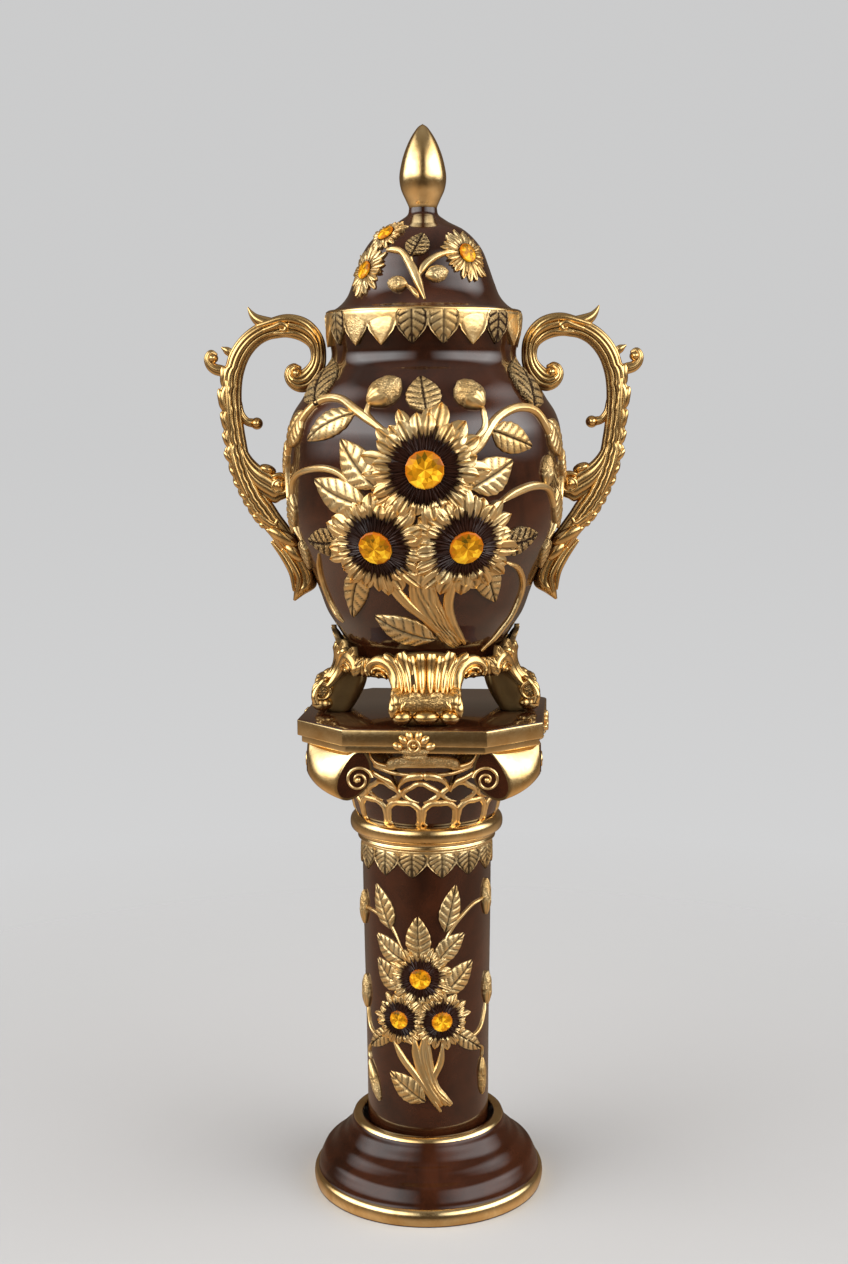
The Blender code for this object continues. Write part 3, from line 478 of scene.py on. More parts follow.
def turned(outline, steps=TURN_STEPS):
    """A closed solid turned from a closed outline of (radius, height)."""
    bm = new_piece()
    corners = [bm.verts.new((0.0, -r, z)) for r, z in outline]
    edges = [bm.edges.new(pair) for pair in zip(corners, corners[1:])]
    if outline[0][0] > 0.0 or outline[-1][0] > 0.0:
        edges.append(bm.edges.new((corners[-1], corners[0])))
    bmesh.ops.spin(bm, geom=corners + edges, angle=tau, steps=steps, axis=Z, cent=(0, 0, 0), use_merge=True)
    bmesh.ops.remove_doubles(bm, verts=bm.verts, dist=1e-6)
    bmesh.ops.dissolve_degenerate(bm, edges=bm.edges, dist=1e-7)
    return bm


def band(wall, low, high, lift):
    """A thin ring of gold laid over a turned face between two heights, rounded at its edges."""
    depth, count = 0.001, 10
    start, end = wall.run_at(low), wall.run_at(high)
    outer, inner = [], []
    for t in (i / count for i in range(count + 1)):
        r, z, out, up = wall.point(start + t * (end - start))
        rise = lift * sqrt(max(1.0 - (2 * t - 1) ** 6, 0.0))
        outer.append((r + out * rise, z + up * rise))
        inner.append((r - out * depth, z - up * depth))
    return turned(outer + inner[::-1])


def as_object(bm, name, material):
    mesh = as_mesh(bm, name)
    mesh.materials.append(material)
    made = bpy.data.objects.new(name, mesh)
    bpy.context.scene.collection.objects.link(made)
    return made


def face_outwards(bm):
    """Point the faces of every shell outwards, by the sign of the volume it holds."""
    bm.normal_update()
    bmesh.ops.recalc_face_normals(bm, faces=bm.faces)
    seen, inward = set(), []
    for first in bm.faces:
        if first in seen:
            continue
        seen.add(first)
        shell, volume, start = [first], 0.0, first.verts[0].co
        for face in shell:
            volume += face.calc_area() * face.normal.dot(face.calc_center_median() - start)
            for other in (near for edge in face.edges for near in edge.link_faces):
                if other not in seen:
                    seen.add(other)
                    shell.append(other)
        if volume < 0.0:
            inward += shell
    if inward:
        bmesh.ops.reverse_faces(bm, faces=inward)


def finish_piece(bm, name, finish, node=None, sharp=50.0):
    """Turn a bmesh into a named piece with outward faces that rides on the object's body."""
    face_outwards(bm)
    material, slot = finishes()[finish]
    piece = as_object(bm, name, material)
    if sharp:
        piece.data.shade_smooth()
        piece.data.set_sharp_from_angle(angle=math.radians(sharp))
    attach(piece, "root")
    if node:
        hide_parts(node)


# ---------------------------------------------------------------- relief
def leaf(whole, wall, places, lift, table=LEAF, veins=6, across=20, along=36, bend=0.0, tilt=(0.0, 0.0),
         depth=1.0, outline=0.0, leaf_shade=0.0, slant=0.95):
    """A domed leaf with a midrib and engraved side veins, and with outline a raised edge."""
    *ends, width, grain = places
    length, turn = wall.aim(*ends)
    veined = min(veins, 1)

    def shape(u, v):
        edge = crowded(u)
        off = edge * 0.5 * width * share(table, v)
        wave = abs(sin(pi * (v * veins * 1.1 - abs(edge) * slant)))
        x = off * (1.0 + 0.04 * (wave - 0.6) * veined) + bend * length * sin(pi * v)
        y = length * v
        middle = groove(off, 0.026 * width + 0.0003)
        blade = clamp((abs(edge) - 0.08) / 0.15) * clamp((1.0 - abs(edge)) / 0.12)
        vein = (1.0 - wave) ** 2.6 * blade * min(v / 0.12, 1.0) * min((1.0 - v) / 0.1, 1.0) * veined
        thick = min(v / 0.15, 1.0) ** 0.5 * (0.55 + 0.45 * min((1.0 - v) / 0.35, 1.0))
        inside = groove(abs(edge) - 0.84, 0.07) * outline
        rim = groove(1.0 - abs(edge), 0.06)
        rise = (0.34 + 0.66 * dome(edge) ** 0.7) * (0.45 + 0.55 * thick)
        rise += 0.30 * outline * (rim - inside) - depth * (0.26 * middle + 0.22 * vein)
        # painted shade in the midrib, the veins, the groove inside a raised edge and along a plain edge; the last
        # term is painted shade over the whole leaf
        hollow = 0.95 * depth * (middle + vein) + 0.25 * rim * (1.0 - outline) + 0.8 * inside + leaf_shade
        return x, y, lift * rise + tilt[0] * x + tilt[1] * (y - 0.5 * length), min(1.0, hollow), grain

    lay(whole, wall, *ends[:2], turn, across, along, shape)


def stem(whole, wall, width, places, lift, taper=(0.75, 0.55), ridges=2.0, across=10, per=8, flare=0.0):
    """A stem that follows places on a wall, ridged along its length; a broad one is furrowed like bark."""
    angle0, height0 = places[0]
    start = wall.run_at(height0)
    line = smooth([(math.radians(angle - angle0) * wall.radius(height), wall.run_at(height) - start)
                   for angle, height in places], per)
    last = len(line) - 1
    bark = min(max(width - 0.012, 0.0) / 0.004, 1.0)
    furrows = (ridges + 4.0 * bark) * pi
    narrow, tip = taper

    def shape(u, v):
        i = min(int(v * last + 1e-6), last - 1)
        spot = line[i].lerp(line[i + 1], v * last - i)
        along = (line[min(i + 1, last)] - line[max(i - 1, 0)]).normalized()
        edge = crowded(u)
        wide = 0.5 * width * (narrow + (1.0 - narrow) * sin(pi * min(v * 1.4, 1.0)))
        wide *= min(1.0, 0.35 + 3.0 * v) * min(1.0, tip + 3.0 * (1.0 - v)) * (1.0 + flare * (v - 0.5))
        crooked = edge + bark * (0.12 * sin(9.0 * v + 2.0 * edge) + 0.06 * sin(23.0 * v - 5.0 * edge))
        furrow = 0.5 - 0.5 * cos(furrows * (crooked + 1.0))
        rise = lift * dome(edge) ** (1.0 - 0.5 * bark) * (0.80 + 0.20 * furrow - 0.12 * bark * (1.0 - furrow))
        rise *= min(1.0, 0.4 + 6.0 * v) * min(1.0, 0.4 + 6.0 * (1.0 - v))
        # the hollow value here is painted shade in the furrows of the bark, fading to none at the stem's edges
        return (spot.x - along.y * edge * wide, spot.y + along.x * edge * wide, rise,
                (0.30 + 0.60 * bark) * (1.0 - furrow) ** 2 * (1.0 - edge * edge), 0.0)

    lay(whole, wall, angle0, height0, 0.0, across, last, shape)


def bud(whole, wall, places):
    """A rounded bud: a striped calyx with painted shade between its stripes, and a stippled top with painted shade
    in its whorls.
    """
    *ends, width, depth = places
    length, turn = wall.aim(*ends)

    def shape(u, v):
        edge = crowded(u)
        calyx = clamp((0.44 + 0.06 * cos(3 * pi * edge) - v) / 0.05)
        stripe = 0.5 + 0.5 * cos(5 * pi * edge)
        whorl = abs(sin(9.0 * v + 4.0 * edge))
        rise = depth * dome(edge) * (0.35 + 0.65 * share(EGG, v))
        rise *= 1.0 + 0.12 * calyx + 0.08 * (stripe * calyx + whorl * (1.0 - calyx))
        # painted shade between the calyx stripes, in the whorls of the top and along the line where they meet
        hollow = 0.9 * (1.0 - stripe) ** 3 * calyx + 0.5 * (1.0 - whorl) ** 3 * (1.0 - calyx)
        hollow += 0.30 * groove(v - 0.46, 0.02)
        return (edge * 0.5 * width * share(EGG, v) * (1.0 + 0.06 * calyx), length * v, rise,
                min(hollow, 1.0), 0.42 * (1.0 - calyx))

    lay(whole, wall, *ends[:2], turn, 22, 26, shape)


def petal(whole, wall, angle, height, turn, start, reach, width, lifts, roll):
    """One pointed petal, creased along its middle; lifts are at its foot, its crest and its tip."""
    def shape(u, v):
        edge = crowded(u)
        off = edge * 0.5 * width * share(PETAL, v)
        crease, side = groove(edge, 0.16), groove(abs(edge) - 0.55, 0.14)
        rise = share(tuple(zip((0.0, 0.45, 1.0), lifts)), v) + roll * off
        rise += 0.17 * width * (dome(edge) - 0.80 * crease - 0.30 * side)
        # painted shade in the crease and beside it, at the petal's foot and along its edges
        hollow = (0.85 * crease + 0.30 * side) * min(1.0, (1.0 - v) * 4.0)
        hollow += 0.7 * groove(v, 0.16) + 0.35 * groove(1.0 - abs(edge), 0.1)
        return off, start + (reach - start) * v, max(rise, 0.0004), min(hollow, 1.0), 0.0

    lay(whole, wall, angle, height, turn, 10, 10, shape)


def on_disc(u, v):
    """Turn a place on a square patch into one on a round patch, and say how far out it is."""
    w = 2.0 * v - 1.0
    x, y = u * sqrt(1.0 - 0.5 * w * w), w * sqrt(1.0 - 0.5 * u * u)
    return x, y, math.hypot(x, y)


# rings of a flower's petals: reach, lifts at foot, crest and tip, width, shift round the ring
PETAL_RINGS = ((1.0, 0.42, 0.62, 0.30, 1.0, 0.0), (0.84, 0.60, 0.92, 0.62, 0.82, 0.5))
# rings of a fringe's spikes: where they start and end, how high there
SPIKE_RINGS = ((0.55, 1.09, 1.00, 0.90), (0.48, 0.90, 1.08, 1.00))


def flower(gold, dark, wall, places, lift, count, dice, thin):
    """Two rings of petals round a dark fringed disc."""
    angle, height, reach, disc, jewel = places
    start = max(0.80 * disc, 1.02 * jewel)
    width = tau * 0.80 * reach / count * 1.15 * thin
    for far, foot, crest, tip, broad, shift in PETAL_RINGS:
        for i in range(count):
            turn = tau * (i + shift + dice.uniform(-0.32, 0.32)) / count
            end = reach * far * dice.uniform(0.82, 1.08)
            lifts = (lift * foot, lift * crest * dice.uniform(0.80, 1.20), lift * tip * dice.uniform(0.4, 1.9))
            petal(gold, wall, angle, height, turn, start, end, width * broad * dice.uniform(0.78, 1.28),
                  lifts, dice.uniform(-0.32, 0.32))
    if disc < SMALL_DISC:
        return

    def cushion(u, v):
        x, y, far = on_disc(u, v)
        return x * disc * 0.86, y * disc * 0.86, lift * (1.0 - 0.22 * far ** 3), 0.0, 0.0

    lay(dark, wall, angle, height, 0.0, 16, 16, cushion)
    spikes = 46 if disc > 0.025 else 30
    for ring, (near, far, high, low) in enumerate(SPIKE_RINGS):
        half = 0.46 * tau * disc * 0.5 * (near + far) / spikes
        for i in range(spikes):
            turn = tau * (i + 0.5 * ring + dice.uniform(-0.3, 0.3)) / spikes
            start, tip = disc * near, disc * far * dice.uniform(0.86, 1.06)
            up, down = lift * high, lift * low * dice.uniform(0.9, 1.1)

            def spike(u, v):
                return (u * half * share(SPIKE, v), start + (tip - start) * v,
                        up + (down - up) * v + 0.9 * half * (1.0 - abs(u)), 0.0, 0.0)

            lay(dark, wall, angle, height, turn, 4, 4, spike, foot=0.25 * lift)


def button(whole, wall, places, lift):
    """The round stippled middle of a flower that has no jewel."""
    angle, height, _, disc, _ = places
    reach = disc if disc <= SMALL_DISC else 0.50 * disc

    def shape(u, v):
        x, y, far = on_disc(u, v)
        bumps = sin(x * 26) * sin(y * 26)
        # the grain is the button's stipple; the hollow part is a little painted shade between the bumps
        return x * reach, y * reach, lift * (0.85 + 0.75 * dome(far) + 0.05 * bumps), 0.15 * (1.0 - bumps), 0.5

    lay(whole, wall, angle, height, 0.0, 24, 24, shape)


def hanging_leaves(wall, border, lift, table, veins, moods, slant):
    """Leaves that hang side by side from an edge, in moods that take turns."""
    count, first, top, tip, width = border
    dice = random.Random(31)
    whole = new_piece()
    for i in range(count):
        angle = first + 360.0 * i / count
        # the second value of a mood is painted shade laid over the whole leaf
        depth, leaf_shade, grain = moods[i % len(moods)]
        tilt = dice.uniform(-0.04, 0.04), dice.uniform(-0.02, 0.04) + max(0.5 - depth, 0.0) * 0.3
        leaf(whole, wall, (angle, top, angle, tip, 1.06 * width, grain), lift, table, veins, 24, 34,
             tilt=tilt, depth=depth, outline=1.0, leaf_shade=leaf_shade, slant=slant)
    return whole


def sprig(wall, flowers, leaves, stems, buds, lifts, count, seed, thin=1.0, engraving=1.3):
    """Gold flowers, leaves, stems and buds, and the dark discs of the flowers, as two pieces."""
    flower_lift, leaf_lift, stem_lift = lifts
    dice = random.Random(seed)
    gold, dark = new_piece(), new_piece()
    for width, places in stems:
        across, per = (26, 12) if width > 0.0125 else (10, 8)
        rise = stem_lift * min(1.0, 0.55 + 0.45 * width / 0.010)
        stem(gold, wall, width, places, rise, across=across, per=per)
    for places in leaves:
        lean = math.copysign(0.05, places[1] - places[3])
        leaf(gold, wall, places, leaf_lift, bend=dice.uniform(-0.05, 0.05),
             tilt=(dice.uniform(-0.05, 0.05), lean), depth=engraving)
    for places in buds:
        bud(gold, wall, places)
    for places in flowers:
        flower(gold, dark, wall, places, flower_lift, count, dice, thin)
        *_, disc, jewel = places
        if not jewel:
            button(gold if disc < SMALL_DISC else dark, wall, places, flower_lift)
    return gold, dark


# ---------------------------------------------------------------- materials
class Number:
    """A number in a material's nodes, which Python's operators combine."""

    def __init__(self, tree, socket):
        self.tree = tree
        self.socket = socket

    def joined(self, operation, first, second):
        node = self.tree.nodes.new("ShaderNodeMath")
        node.operation = operation
        fill(self.tree, zip(node.inputs, (first, second)))
        return Number(self.tree, node.outputs[0])

    def __add__(self, other):
        return self.joined("ADD", self, other)

    def __mul__(self, other):
        return self.joined("MULTIPLY", self, other)

    def __sub__(self, other):
        return self.joined("SUBTRACT", self, other)

    def __rsub__(self, other):
        return self.joined("SUBTRACT", other, self)

    def __abs__(self):
        return self.joined("ABSOLUTE", self, 0.0)

    __radd__ = __add__
    __rmul__ = __mul__


def fill(tree, pairs):
    """Set sockets to numbers and colours, or link them."""
    for socket, value in pairs:
        if isinstance(value, Number):
            tree.links.new(value.socket, socket)
        else:
            socket.default_value = value


class Nodes:
    """A node tree to which nodes are added in one way."""

    def __init__(self, tree):
        self.tree = tree

    def node(self, kind, settings, inputs, output=0):
        """Add a node: its settings first, then the values or links of its sockets."""
        made = self.tree.nodes.new(kind)
        for key, value in settings.items():
            if key == "stops":
                ramp = made.color_ramp.elements
                while len(ramp) < len(value):
                    ramp.new(0.5)
                for stop, (position, shade) in zip(ramp, value):
                    stop.position = position
                    stop.color = (*shade, 1.0)
            else:
                setattr(made, key, value)
        fill(self.tree, ((made.inputs[key], value) for key, value in inputs.items()))
        return None if output is None else Number(self.tree, made.outputs[output])

    def held(self, value, low=0.0, high=1.0, to_low=0.0, to_high=1.0):
        """Stretch a number's range to another and hold it there."""
        return self.node("ShaderNodeMapRange", {}, {
            "Value": value, "From Min": low, "From Max": high, "To Min": to_low, "To Max": to_high})


class Finish(Nodes):
    """One procedural material."""

    def __init__(self, name):
        self.material = bpy.data.materials.new(name)
        self.material.use_nodes = True
        super().__init__(self.material.node_tree)

    def place(self):
        """The piece's own coordinates."""
        return self.node("ShaderNodeTexCoord", {}, {}, "Object")

    def noise(self, scale, detail=3.0, rough=0.55, warp=0.0):
        return self.node("ShaderNodeTexNoise", {}, {
            "Vector": self.place(), "Scale": scale, "Detail": detail, "Roughness": rough, "Distortion": warp})

    def marked(self, name):
        """A value that the mesh carries."""
        return self.node("ShaderNodeAttribute", {"attribute_name": name}, {}, "Fac")

    def mixed(self, second_share, first, second):
        """One colour shading into another."""
        first, second = (value if isinstance(value, Number) else (*value, 1.0) for value in (first, second))
        return self.node("ShaderNodeMix", {"data_type": "RGBA"}, {0: second_share, 6: first, 7: second}, 2)

    def set(self, **sockets):
        """Set or link the shader's sockets, named with _ for a space."""
        inputs = self.tree.nodes["Principled BSDF"].inputs
        fill(self.tree, ((inputs[key.replace("_", " ")], value) for key, value in sockets.items()))

    def bumped(self, height, distance):
        self.set(Normal=self.node("ShaderNodeBump", {}, {
            "Height": height, "Distance": distance, "Strength": 1.0}))


def tinted(shade, *by):
    """A colour with its parts multiplied, by one number or by one each."""
    return tuple(min(1.0, part * more) for part, more in zip(shade, by if len(by) == 3 else by * 3))


def gold_finish(name, bright, deep, shadow, roughness, worked):
    """Gold lustre: bright on the crests, with painted shade in the grooves and hollows, granular where it is
    stippled.
    """
    made = Finish(name)
    hollow, grain = made.marked("hollow"), made.marked("grain")
    broad = made.held(made.noise(26.0, 4.0, 0.6, 0.6), 0.36, 0.64)
    fine = made.noise(340.0)
    pits = made.node("ShaderNodeTexVoronoi", {"feature": "F1"}, {"Vector": made.place(), "Scale": 520.0})
    stipple = made.held(pits, 0.15, 0.60)
    tone = made.mixed(broad * 0.8 + fine * 0.25, deep, bright)
    # painted shade where the mesh is marked hollow, mixed with the real stipple of the grain and a little fine
    # noise: it darkens the gold to the shade colour, roughens it and dulls the metal
    stipple_and_painted_shade = made.held(hollow * 0.95 + grain * stipple * 0.85 + fine * 0.10 - 0.05)
    made.set(Base_Color=made.mixed(stipple_and_painted_shade, tone, shadow), Metallic=1.0 - stipple_and_painted_shade * 0.25,
             Roughness=made.held(broad * -0.05 + fine * 0.10 + stipple_and_painted_shade * 0.30 + grain * 0.10 + roughness))
    made.bumped((made.noise(150.0, 3.0, 0.5) * 0.6 + fine * 0.12) * worked + grain * stipple * -1.0, 0.0009)
    return made.material


def brown_finish(name, brown, gloss=1.0, coat=1.0):
    """Thick glossy chocolate glaze with faint clouds and a slow ripple."""
    made = Finish(name)
    cloud = made.held(made.noise(14.0, 5.0, 0.65, 0.8), 0.35, 0.68)
    speck = made.held(made.noise(420.0, 2.0), 0.60, 0.80)
    light = tinted(brown, 2.5, 2.2, 1.7)
    made.set(Base_Color=made.mixed(cloud * 0.8 + speck * 0.2, tinted(brown, 0.75), light),
             Roughness=made.held(cloud * 0.06 + speck * 0.08 + 0.46 - 0.30 * gloss),
             IOR=1.38 - 0.16 * gloss, Coat_Weight=gloss * coat, Coat_Roughness=0.05, Coat_IOR=1.5)
    made.bumped(made.noise(38.0, 2.0, 0.4) * 0.8 + made.noise(210.0, 2.0) * 0.06, 0.0006)
    return made.material


def amber_finish(name, amber, ember):
    """Foil-backed amber glass: each facet carries its own painted light, from painted shade to painted highlight,
    the palest facets also glow, and the rim is orange.
    """
    made = Finish(name)
    facet, rim = made.marked("facet"), made.marked("rim")
    swirl = made.noise(75.0, 1.0, 0.5, 0.8)
    # pale is the painted highlight colour of the lit facets; the darkest stop of the ramp is painted shade
    pale = tinted(amber, 1.4, 2.1, 4.0)
    tone = made.node("ShaderNodeValToRGB", {"stops": (
        (0.0, tinted(amber, 0.16, 0.24, 0.5)), (0.25, tinted(amber, 0.60)), (0.50, amber), (0.85, pale))},
        {"Fac": made.held(facet * 0.95 + swirl * 0.30 - 0.14)})
    # painted light: the palest facets glow, though the stone is no lamp
    glow = made.mixed(made.held(facet, 0.45, 1.0), (0.0, 0.0, 0.0), pale)
    shade = made.mixed(made.held(rim * (swirl * 0.5 + 0.55)), tone, ember)
    made.set(Base_Color=shade, Specular_IOR_Level=0.1, Roughness=made.held(swirl * 0.10 + 0.03),
             Coat_Weight=0.08, Coat_Roughness=0.03, Emission_Color=glow, Emission_Strength=0.35)
    return made.material


def floor_finish(name, pale):
    """Pale studio floor that fades out far from the object."""
    made = Finish(name)
    far = made.node("ShaderNodeVectorMath", {"operation": "LENGTH"}, {0: made.place()}, "Value")
    mottle = made.noise(2.0, 2.0)
    made.set(Base_Color=made.mixed(mottle, pale, tinted(pale, 1.02)), Roughness=made.held(mottle * 0.1 + 0.45),
             Alpha=made.held(far, 0.30, 1.5, 1.0, 0.0), Specular_IOR_Level=0.25)
    return made.material


MATERIALS = {}


def finishes():
    """The shared materials with their slots, made once from the colours on the scene."""
    if not MATERIALS:
        colours = bpy.context.scene.tureen_colours
        brown, gold, deep, brass, shadow, amber, ember, pale = (
            tuple(getattr(colours, name)) for name in TureenColours.__annotations__)
        for key, material, slot in (
                ("gold", gold_finish("gold lustre", gold, deep, shadow, 0.29, 0.85), "gold_glaze"),
                ("plain_gold", gold_finish("polished gold", gold, tinted(deep, 0.85), shadow, 0.15, 0.20),
                 "gold_glaze"),
                ("brass", gold_finish("handle gold", brass, tinted(deep, 0.72), shadow, 0.20, 0.30),
                 "gold_metal"),
                ("brown", brown_finish("brown glaze", brown), "brown_glaze"),
                ("foot_brown", brown_finish("foot glaze", brown, 1.0, 0.40), "brown_glaze"),
                ("fringe", brown_finish("brown fringe", tinted(brown, 0.7), 0.15), "brown_glaze"),
                ("amber", amber_finish("amber glass", amber, ember), "amber_glass"),
                ("floor", floor_finish("studio floor", pale), None)):
            MATERIALS[key] = material, slot
    return MATERIALS


# ---------------------------------------------------------------- urn and lid
class TUREEN_OT_urn(bpy.types.Operator):
    """Make the hollow urn with its rim"""
    bl_idname = "tureen.urn"
    bl_label = "Urn"

    def execute(self, context):
        outline = smooth(URN_INSIDE, 5) + [(0.0965, 0.9160)] + smooth(URN, 5) + URN_FOOT
        finish_piece(turned(outline), "urn_wall", "brown", "urn_body")
        finish_piece(band(URN_WALL, *RIM_BAND), "urn_rim_band", "gold")
        finish_piece(turned(URN_LIP), "urn_lip", "plain_gold")
        border = hanging_leaves(URN_WALL, RIM_BORDER, 0.0022, HEART, 4, RIM_MOODS, 1.2)
        finish_piece(border, "urn_rim_leaves", "gold")
        bosses = new_piece()
        for side in SIDES:
            sweep(bosses, 32, [(Vector((side * x, 0, BOSS_HEIGHT)), Y * r, Z * r) for x, r in BOSS])
        finish_piece(bosses, "urn_bosses", "brass")
        return {"FINISHED"}


class TUREEN_OT_urn_relief(bpy.types.Operator):
    """Lay the flowers, leaves and stems on the urn"""
    bl_idname = "tureen.urn_relief"
    bl_label = "Urn relief"

    def execute(self, context):
        sizes = context.scene.tureen_sizes
        gold, dark = sprig(URN_WALL, URN_FLOWERS, URN_LEAVES, URN_STEMS, URN_BUDS,
                           (sizes.urn_lift, sizes.leaf_lift, 0.0045), sizes.petals, 11)
        finish_piece(gold, "urn_sprig", "gold")
        finish_piece(dark, "urn_flower_discs", "fringe")
        return {"FINISHED"}


class TUREEN_OT_lid(bpy.types.Operator):
    """Make the hollow lid with its drop-shaped tip and its sprig"""
    bl_idname = "tureen.lid"
    bl_label = "Lid"

    def execute(self, context):
        sizes = context.scene.tureen_sizes
        outline = [(0.0, 1.0170)] + smooth(DOME, 5) + LID_FLANGE + smooth(DOME_INSIDE, 4)
        finish_piece(turned(outline), "lid_dome", "brown", "lid")
        finish_piece(turned(smooth(DROP, 6) + [(0.0, 1.0130)], 96), "lid_drop", "plain_gold")
        gold, dark = sprig(DOME_WALL, LID_FLOWERS, LID_LEAVES, LID_STEMS, LID_BUDS,
                           (sizes.small_lift, sizes.small_leaf_lift, 0.0042), 19, 23, 0.58)
        dark.free()
        finish_piece(gold, "lid_sprig", "gold")
        return {"FINISHED"}


# ---------------------------------------------------------------- handles
# right handle: outer and inner edge as (x, height, x, height), from the tail to the end of the scroll
HANDLE_EDGES = rows("mmmm", """
    136 626.2 132.5 624.8  135.2 634 125 630  133.5 643 111.8 639.5  134.2 650 112 650  137.5 659 116.5 664
    143.5 670 122.5 676  151 681 129 687  159 691.5 138.5 700  166 700 148.3 713.6  173.5 710 154.5 723.5
    181 723 162 733  186.5 734 168 744  191 745 173 755  195 757 177 767  198.5 770 179.5 778  201 785 181.2 788
    202.5 800 183 800  203.5 815 184.5 815  204 830 185 830  203.5 845 184.5 843  201.5 860 182.5 855
    197.5 874 178 868  190 887 171.5 878  180 897.5 164 885  169 905 156 889  155 911 148 890.5
    140 915 139 891.2  127 914 130 889.5  115 909 122 886  106 900 116.5 881.5  100 888 114.5 875
    98.5 874 115 869  100 860 117.5 865  106.5 847.5 120.5 862  115 838.5 124 859.5  125 836.2 127 858
    134.5 840 127.5 857  140.5 848 128 855.5  141.5 856 129 854.5  137.5 863.5 130 855  131 866 130 857
    125.5 863.5 128.5 858""")
# arm that holds the handle to the boss of the urn: upper and lower edge
ARM_EDGES = rows("mmmm", """
    186.5 798 188.5 790  181.5 781 187 764  175 770.5 180.5 747  167 763 170.5 734.5  159 758.5 160 727.5
    154 755 152.5 724  149 753 147 727""")
ARM_KNOB = (0.1475, 0.7430, 0.0125)         # middle and radius of the rolled end against the boss
ARM_START, LOBE_START = 0.165, 0.15         # lobes are further out than this
# balls on the curls and in the scroll's eye: x, height, radius, depth
HANDLE_BALLS = rows("mmmm", """
    213 871.2 5 9  170.2 805.5 6.2 8.5  128.5 855.5 6.6 13  147.5 743 4.2 13.2""")
# curls of the handle: depth, then points of x, height and width
HANDLE_CURLS = lines("m", "mmm", """
    19   150 905 12  160 906 14  166.5 908.8 12  171.2 912.5 8.5  174.5 917 5  176.8 921.5 1.5
    19   198.5 854 10  205 858.5 12  211.5 860.5 11.5  216.5 865 10  218 872 8.5  215 876.5 7  211 875 5
    16   190 844 4  188 826 7  185.5 814 8  180 807.5 8.5  173.5 806 9.5  170 805.6 8.5
    14   194 875 8  198.5 878.5 8.5  203.5 881.5 3""")
# leafy lobes along the outer edge: height of the middle, half length, how far they stand out
HANDLE_LOBES = rows("mmm", """
    853 11 4  830.5 12 5.2  809 10 3.6  791 8.5 3.4  775 7.8 4.6  760 7.2 4  747 6.2 4  735.5 5.5 3.4
    725.5 4.8 3.4  716.5 4.4 3  708 4.2 2.6  700 4 2""")
# strands on the faces: how far in front of the middle, then points of x, height and width
HANDLE_STRANDS = lines("m", "mmm", """
    9.6   166 903 4  154 906.5 6  142 909.5 6.5  130 908.5 6.5  118 903 5.5  109 893.5 3
    11.2   160 898.5 4  150 902 5.5  143 904.5 5.5  137.8 901.8 5  139.5 898.2 4.5  143.5 899 3
    9.2   150 895.5 3  140 895.5 5  129 895.5 5.5  120 891.5 5  112.5 884 3
    10.6   135 904.5 3  125 901.5 5  115 895.5 5  107.5 885 3
    10   156 685 3  143 668 7  136.2 654 7  134.5 636 3
    11.2   145 678 3  135 663 7  128.5 648 7  131 633 3
    9.6   134 675 3  123.5 662 7  118 648 7  123 637 3
    10.6   170 715 3  161 707 6  153 703 5  150 708 3
    9.8   199 848 3  197.5 830 6  196.5 810 6  195 790 3
    9.8   196 785 3  192.5 765 6  187 748 6  180 732 3""")
# pods on the faces: x, y, height; half length in x and z; half width in x and z; half depth
HANDLE_PODS = rows("mmmmmmmm", "144 10.8 690.5 15 8.5 2.8 -6 5.6  133 10.6 674 8.5 8.5 4.5 -4 4.4")


def in_plane(points, steps, depth, y=0.0):
    """Stations along a smooth line of (x, height, width) in the plane of the handles."""
    line = smooth(points, steps)
    last = len(line) - 1
    spots = []
    for i, (x, z, width) in enumerate(line):
        along = line[min(i + 1, last)] - line[max(i - 1, 0)]
        across = Vector((-along.y, 0.0, along.x)).normalized()
        thick = depth * min(1.0, max(width, 0.001) / 0.018)
        spots.append((Vector((x, y, z)), across * (0.5 * width), Y * (0.5 * thick)))
    return spots


def between_edges(edges, steps, depth, lobes=()):
    """Stations of a band in the plane of the handles, given by its two edges, with lobes on the first edge."""
    spots = []
    for a, b, c, d in smooth(edges, steps):
        one, other = Vector((a, 0.0, b)), Vector((c, 0.0, d))
        if a > ARM_START:
            one += (one - other).normalized() * max([0.0] + [
                high * sqrt(1.0 - ((b - middle) / half) ** 2)
                for middle, half, high in lobes if abs(b - middle) < half])
        thick = depth * min(1.0, max((one - other).length, 0.001) / 0.017)
        spots.append(((one + other) * 0.5, (one - other) * 0.5, Y * (0.5 * thick)))
    return spots


def ridged(count, cut, low=1.0, high=1.0):
    """The section of a band with rounded ridges along it, with painted shade in the valleys between them; both
    fade towards its start and its end.
    """
    def section(turn, v):
        fade = low + (1.0 - low) * clamp((v - 0.14) / 0.08)
        fade *= high + (1.0 - high) * clamp((0.97 - v) / 0.14)
        valley = (1.0 - abs(sin(count * turn))) ** 2
        # painted shade in the valleys of the flutes
        return 1.0 - cut * fade * valley, 0.95 * fade * valley, 0.0
    return section


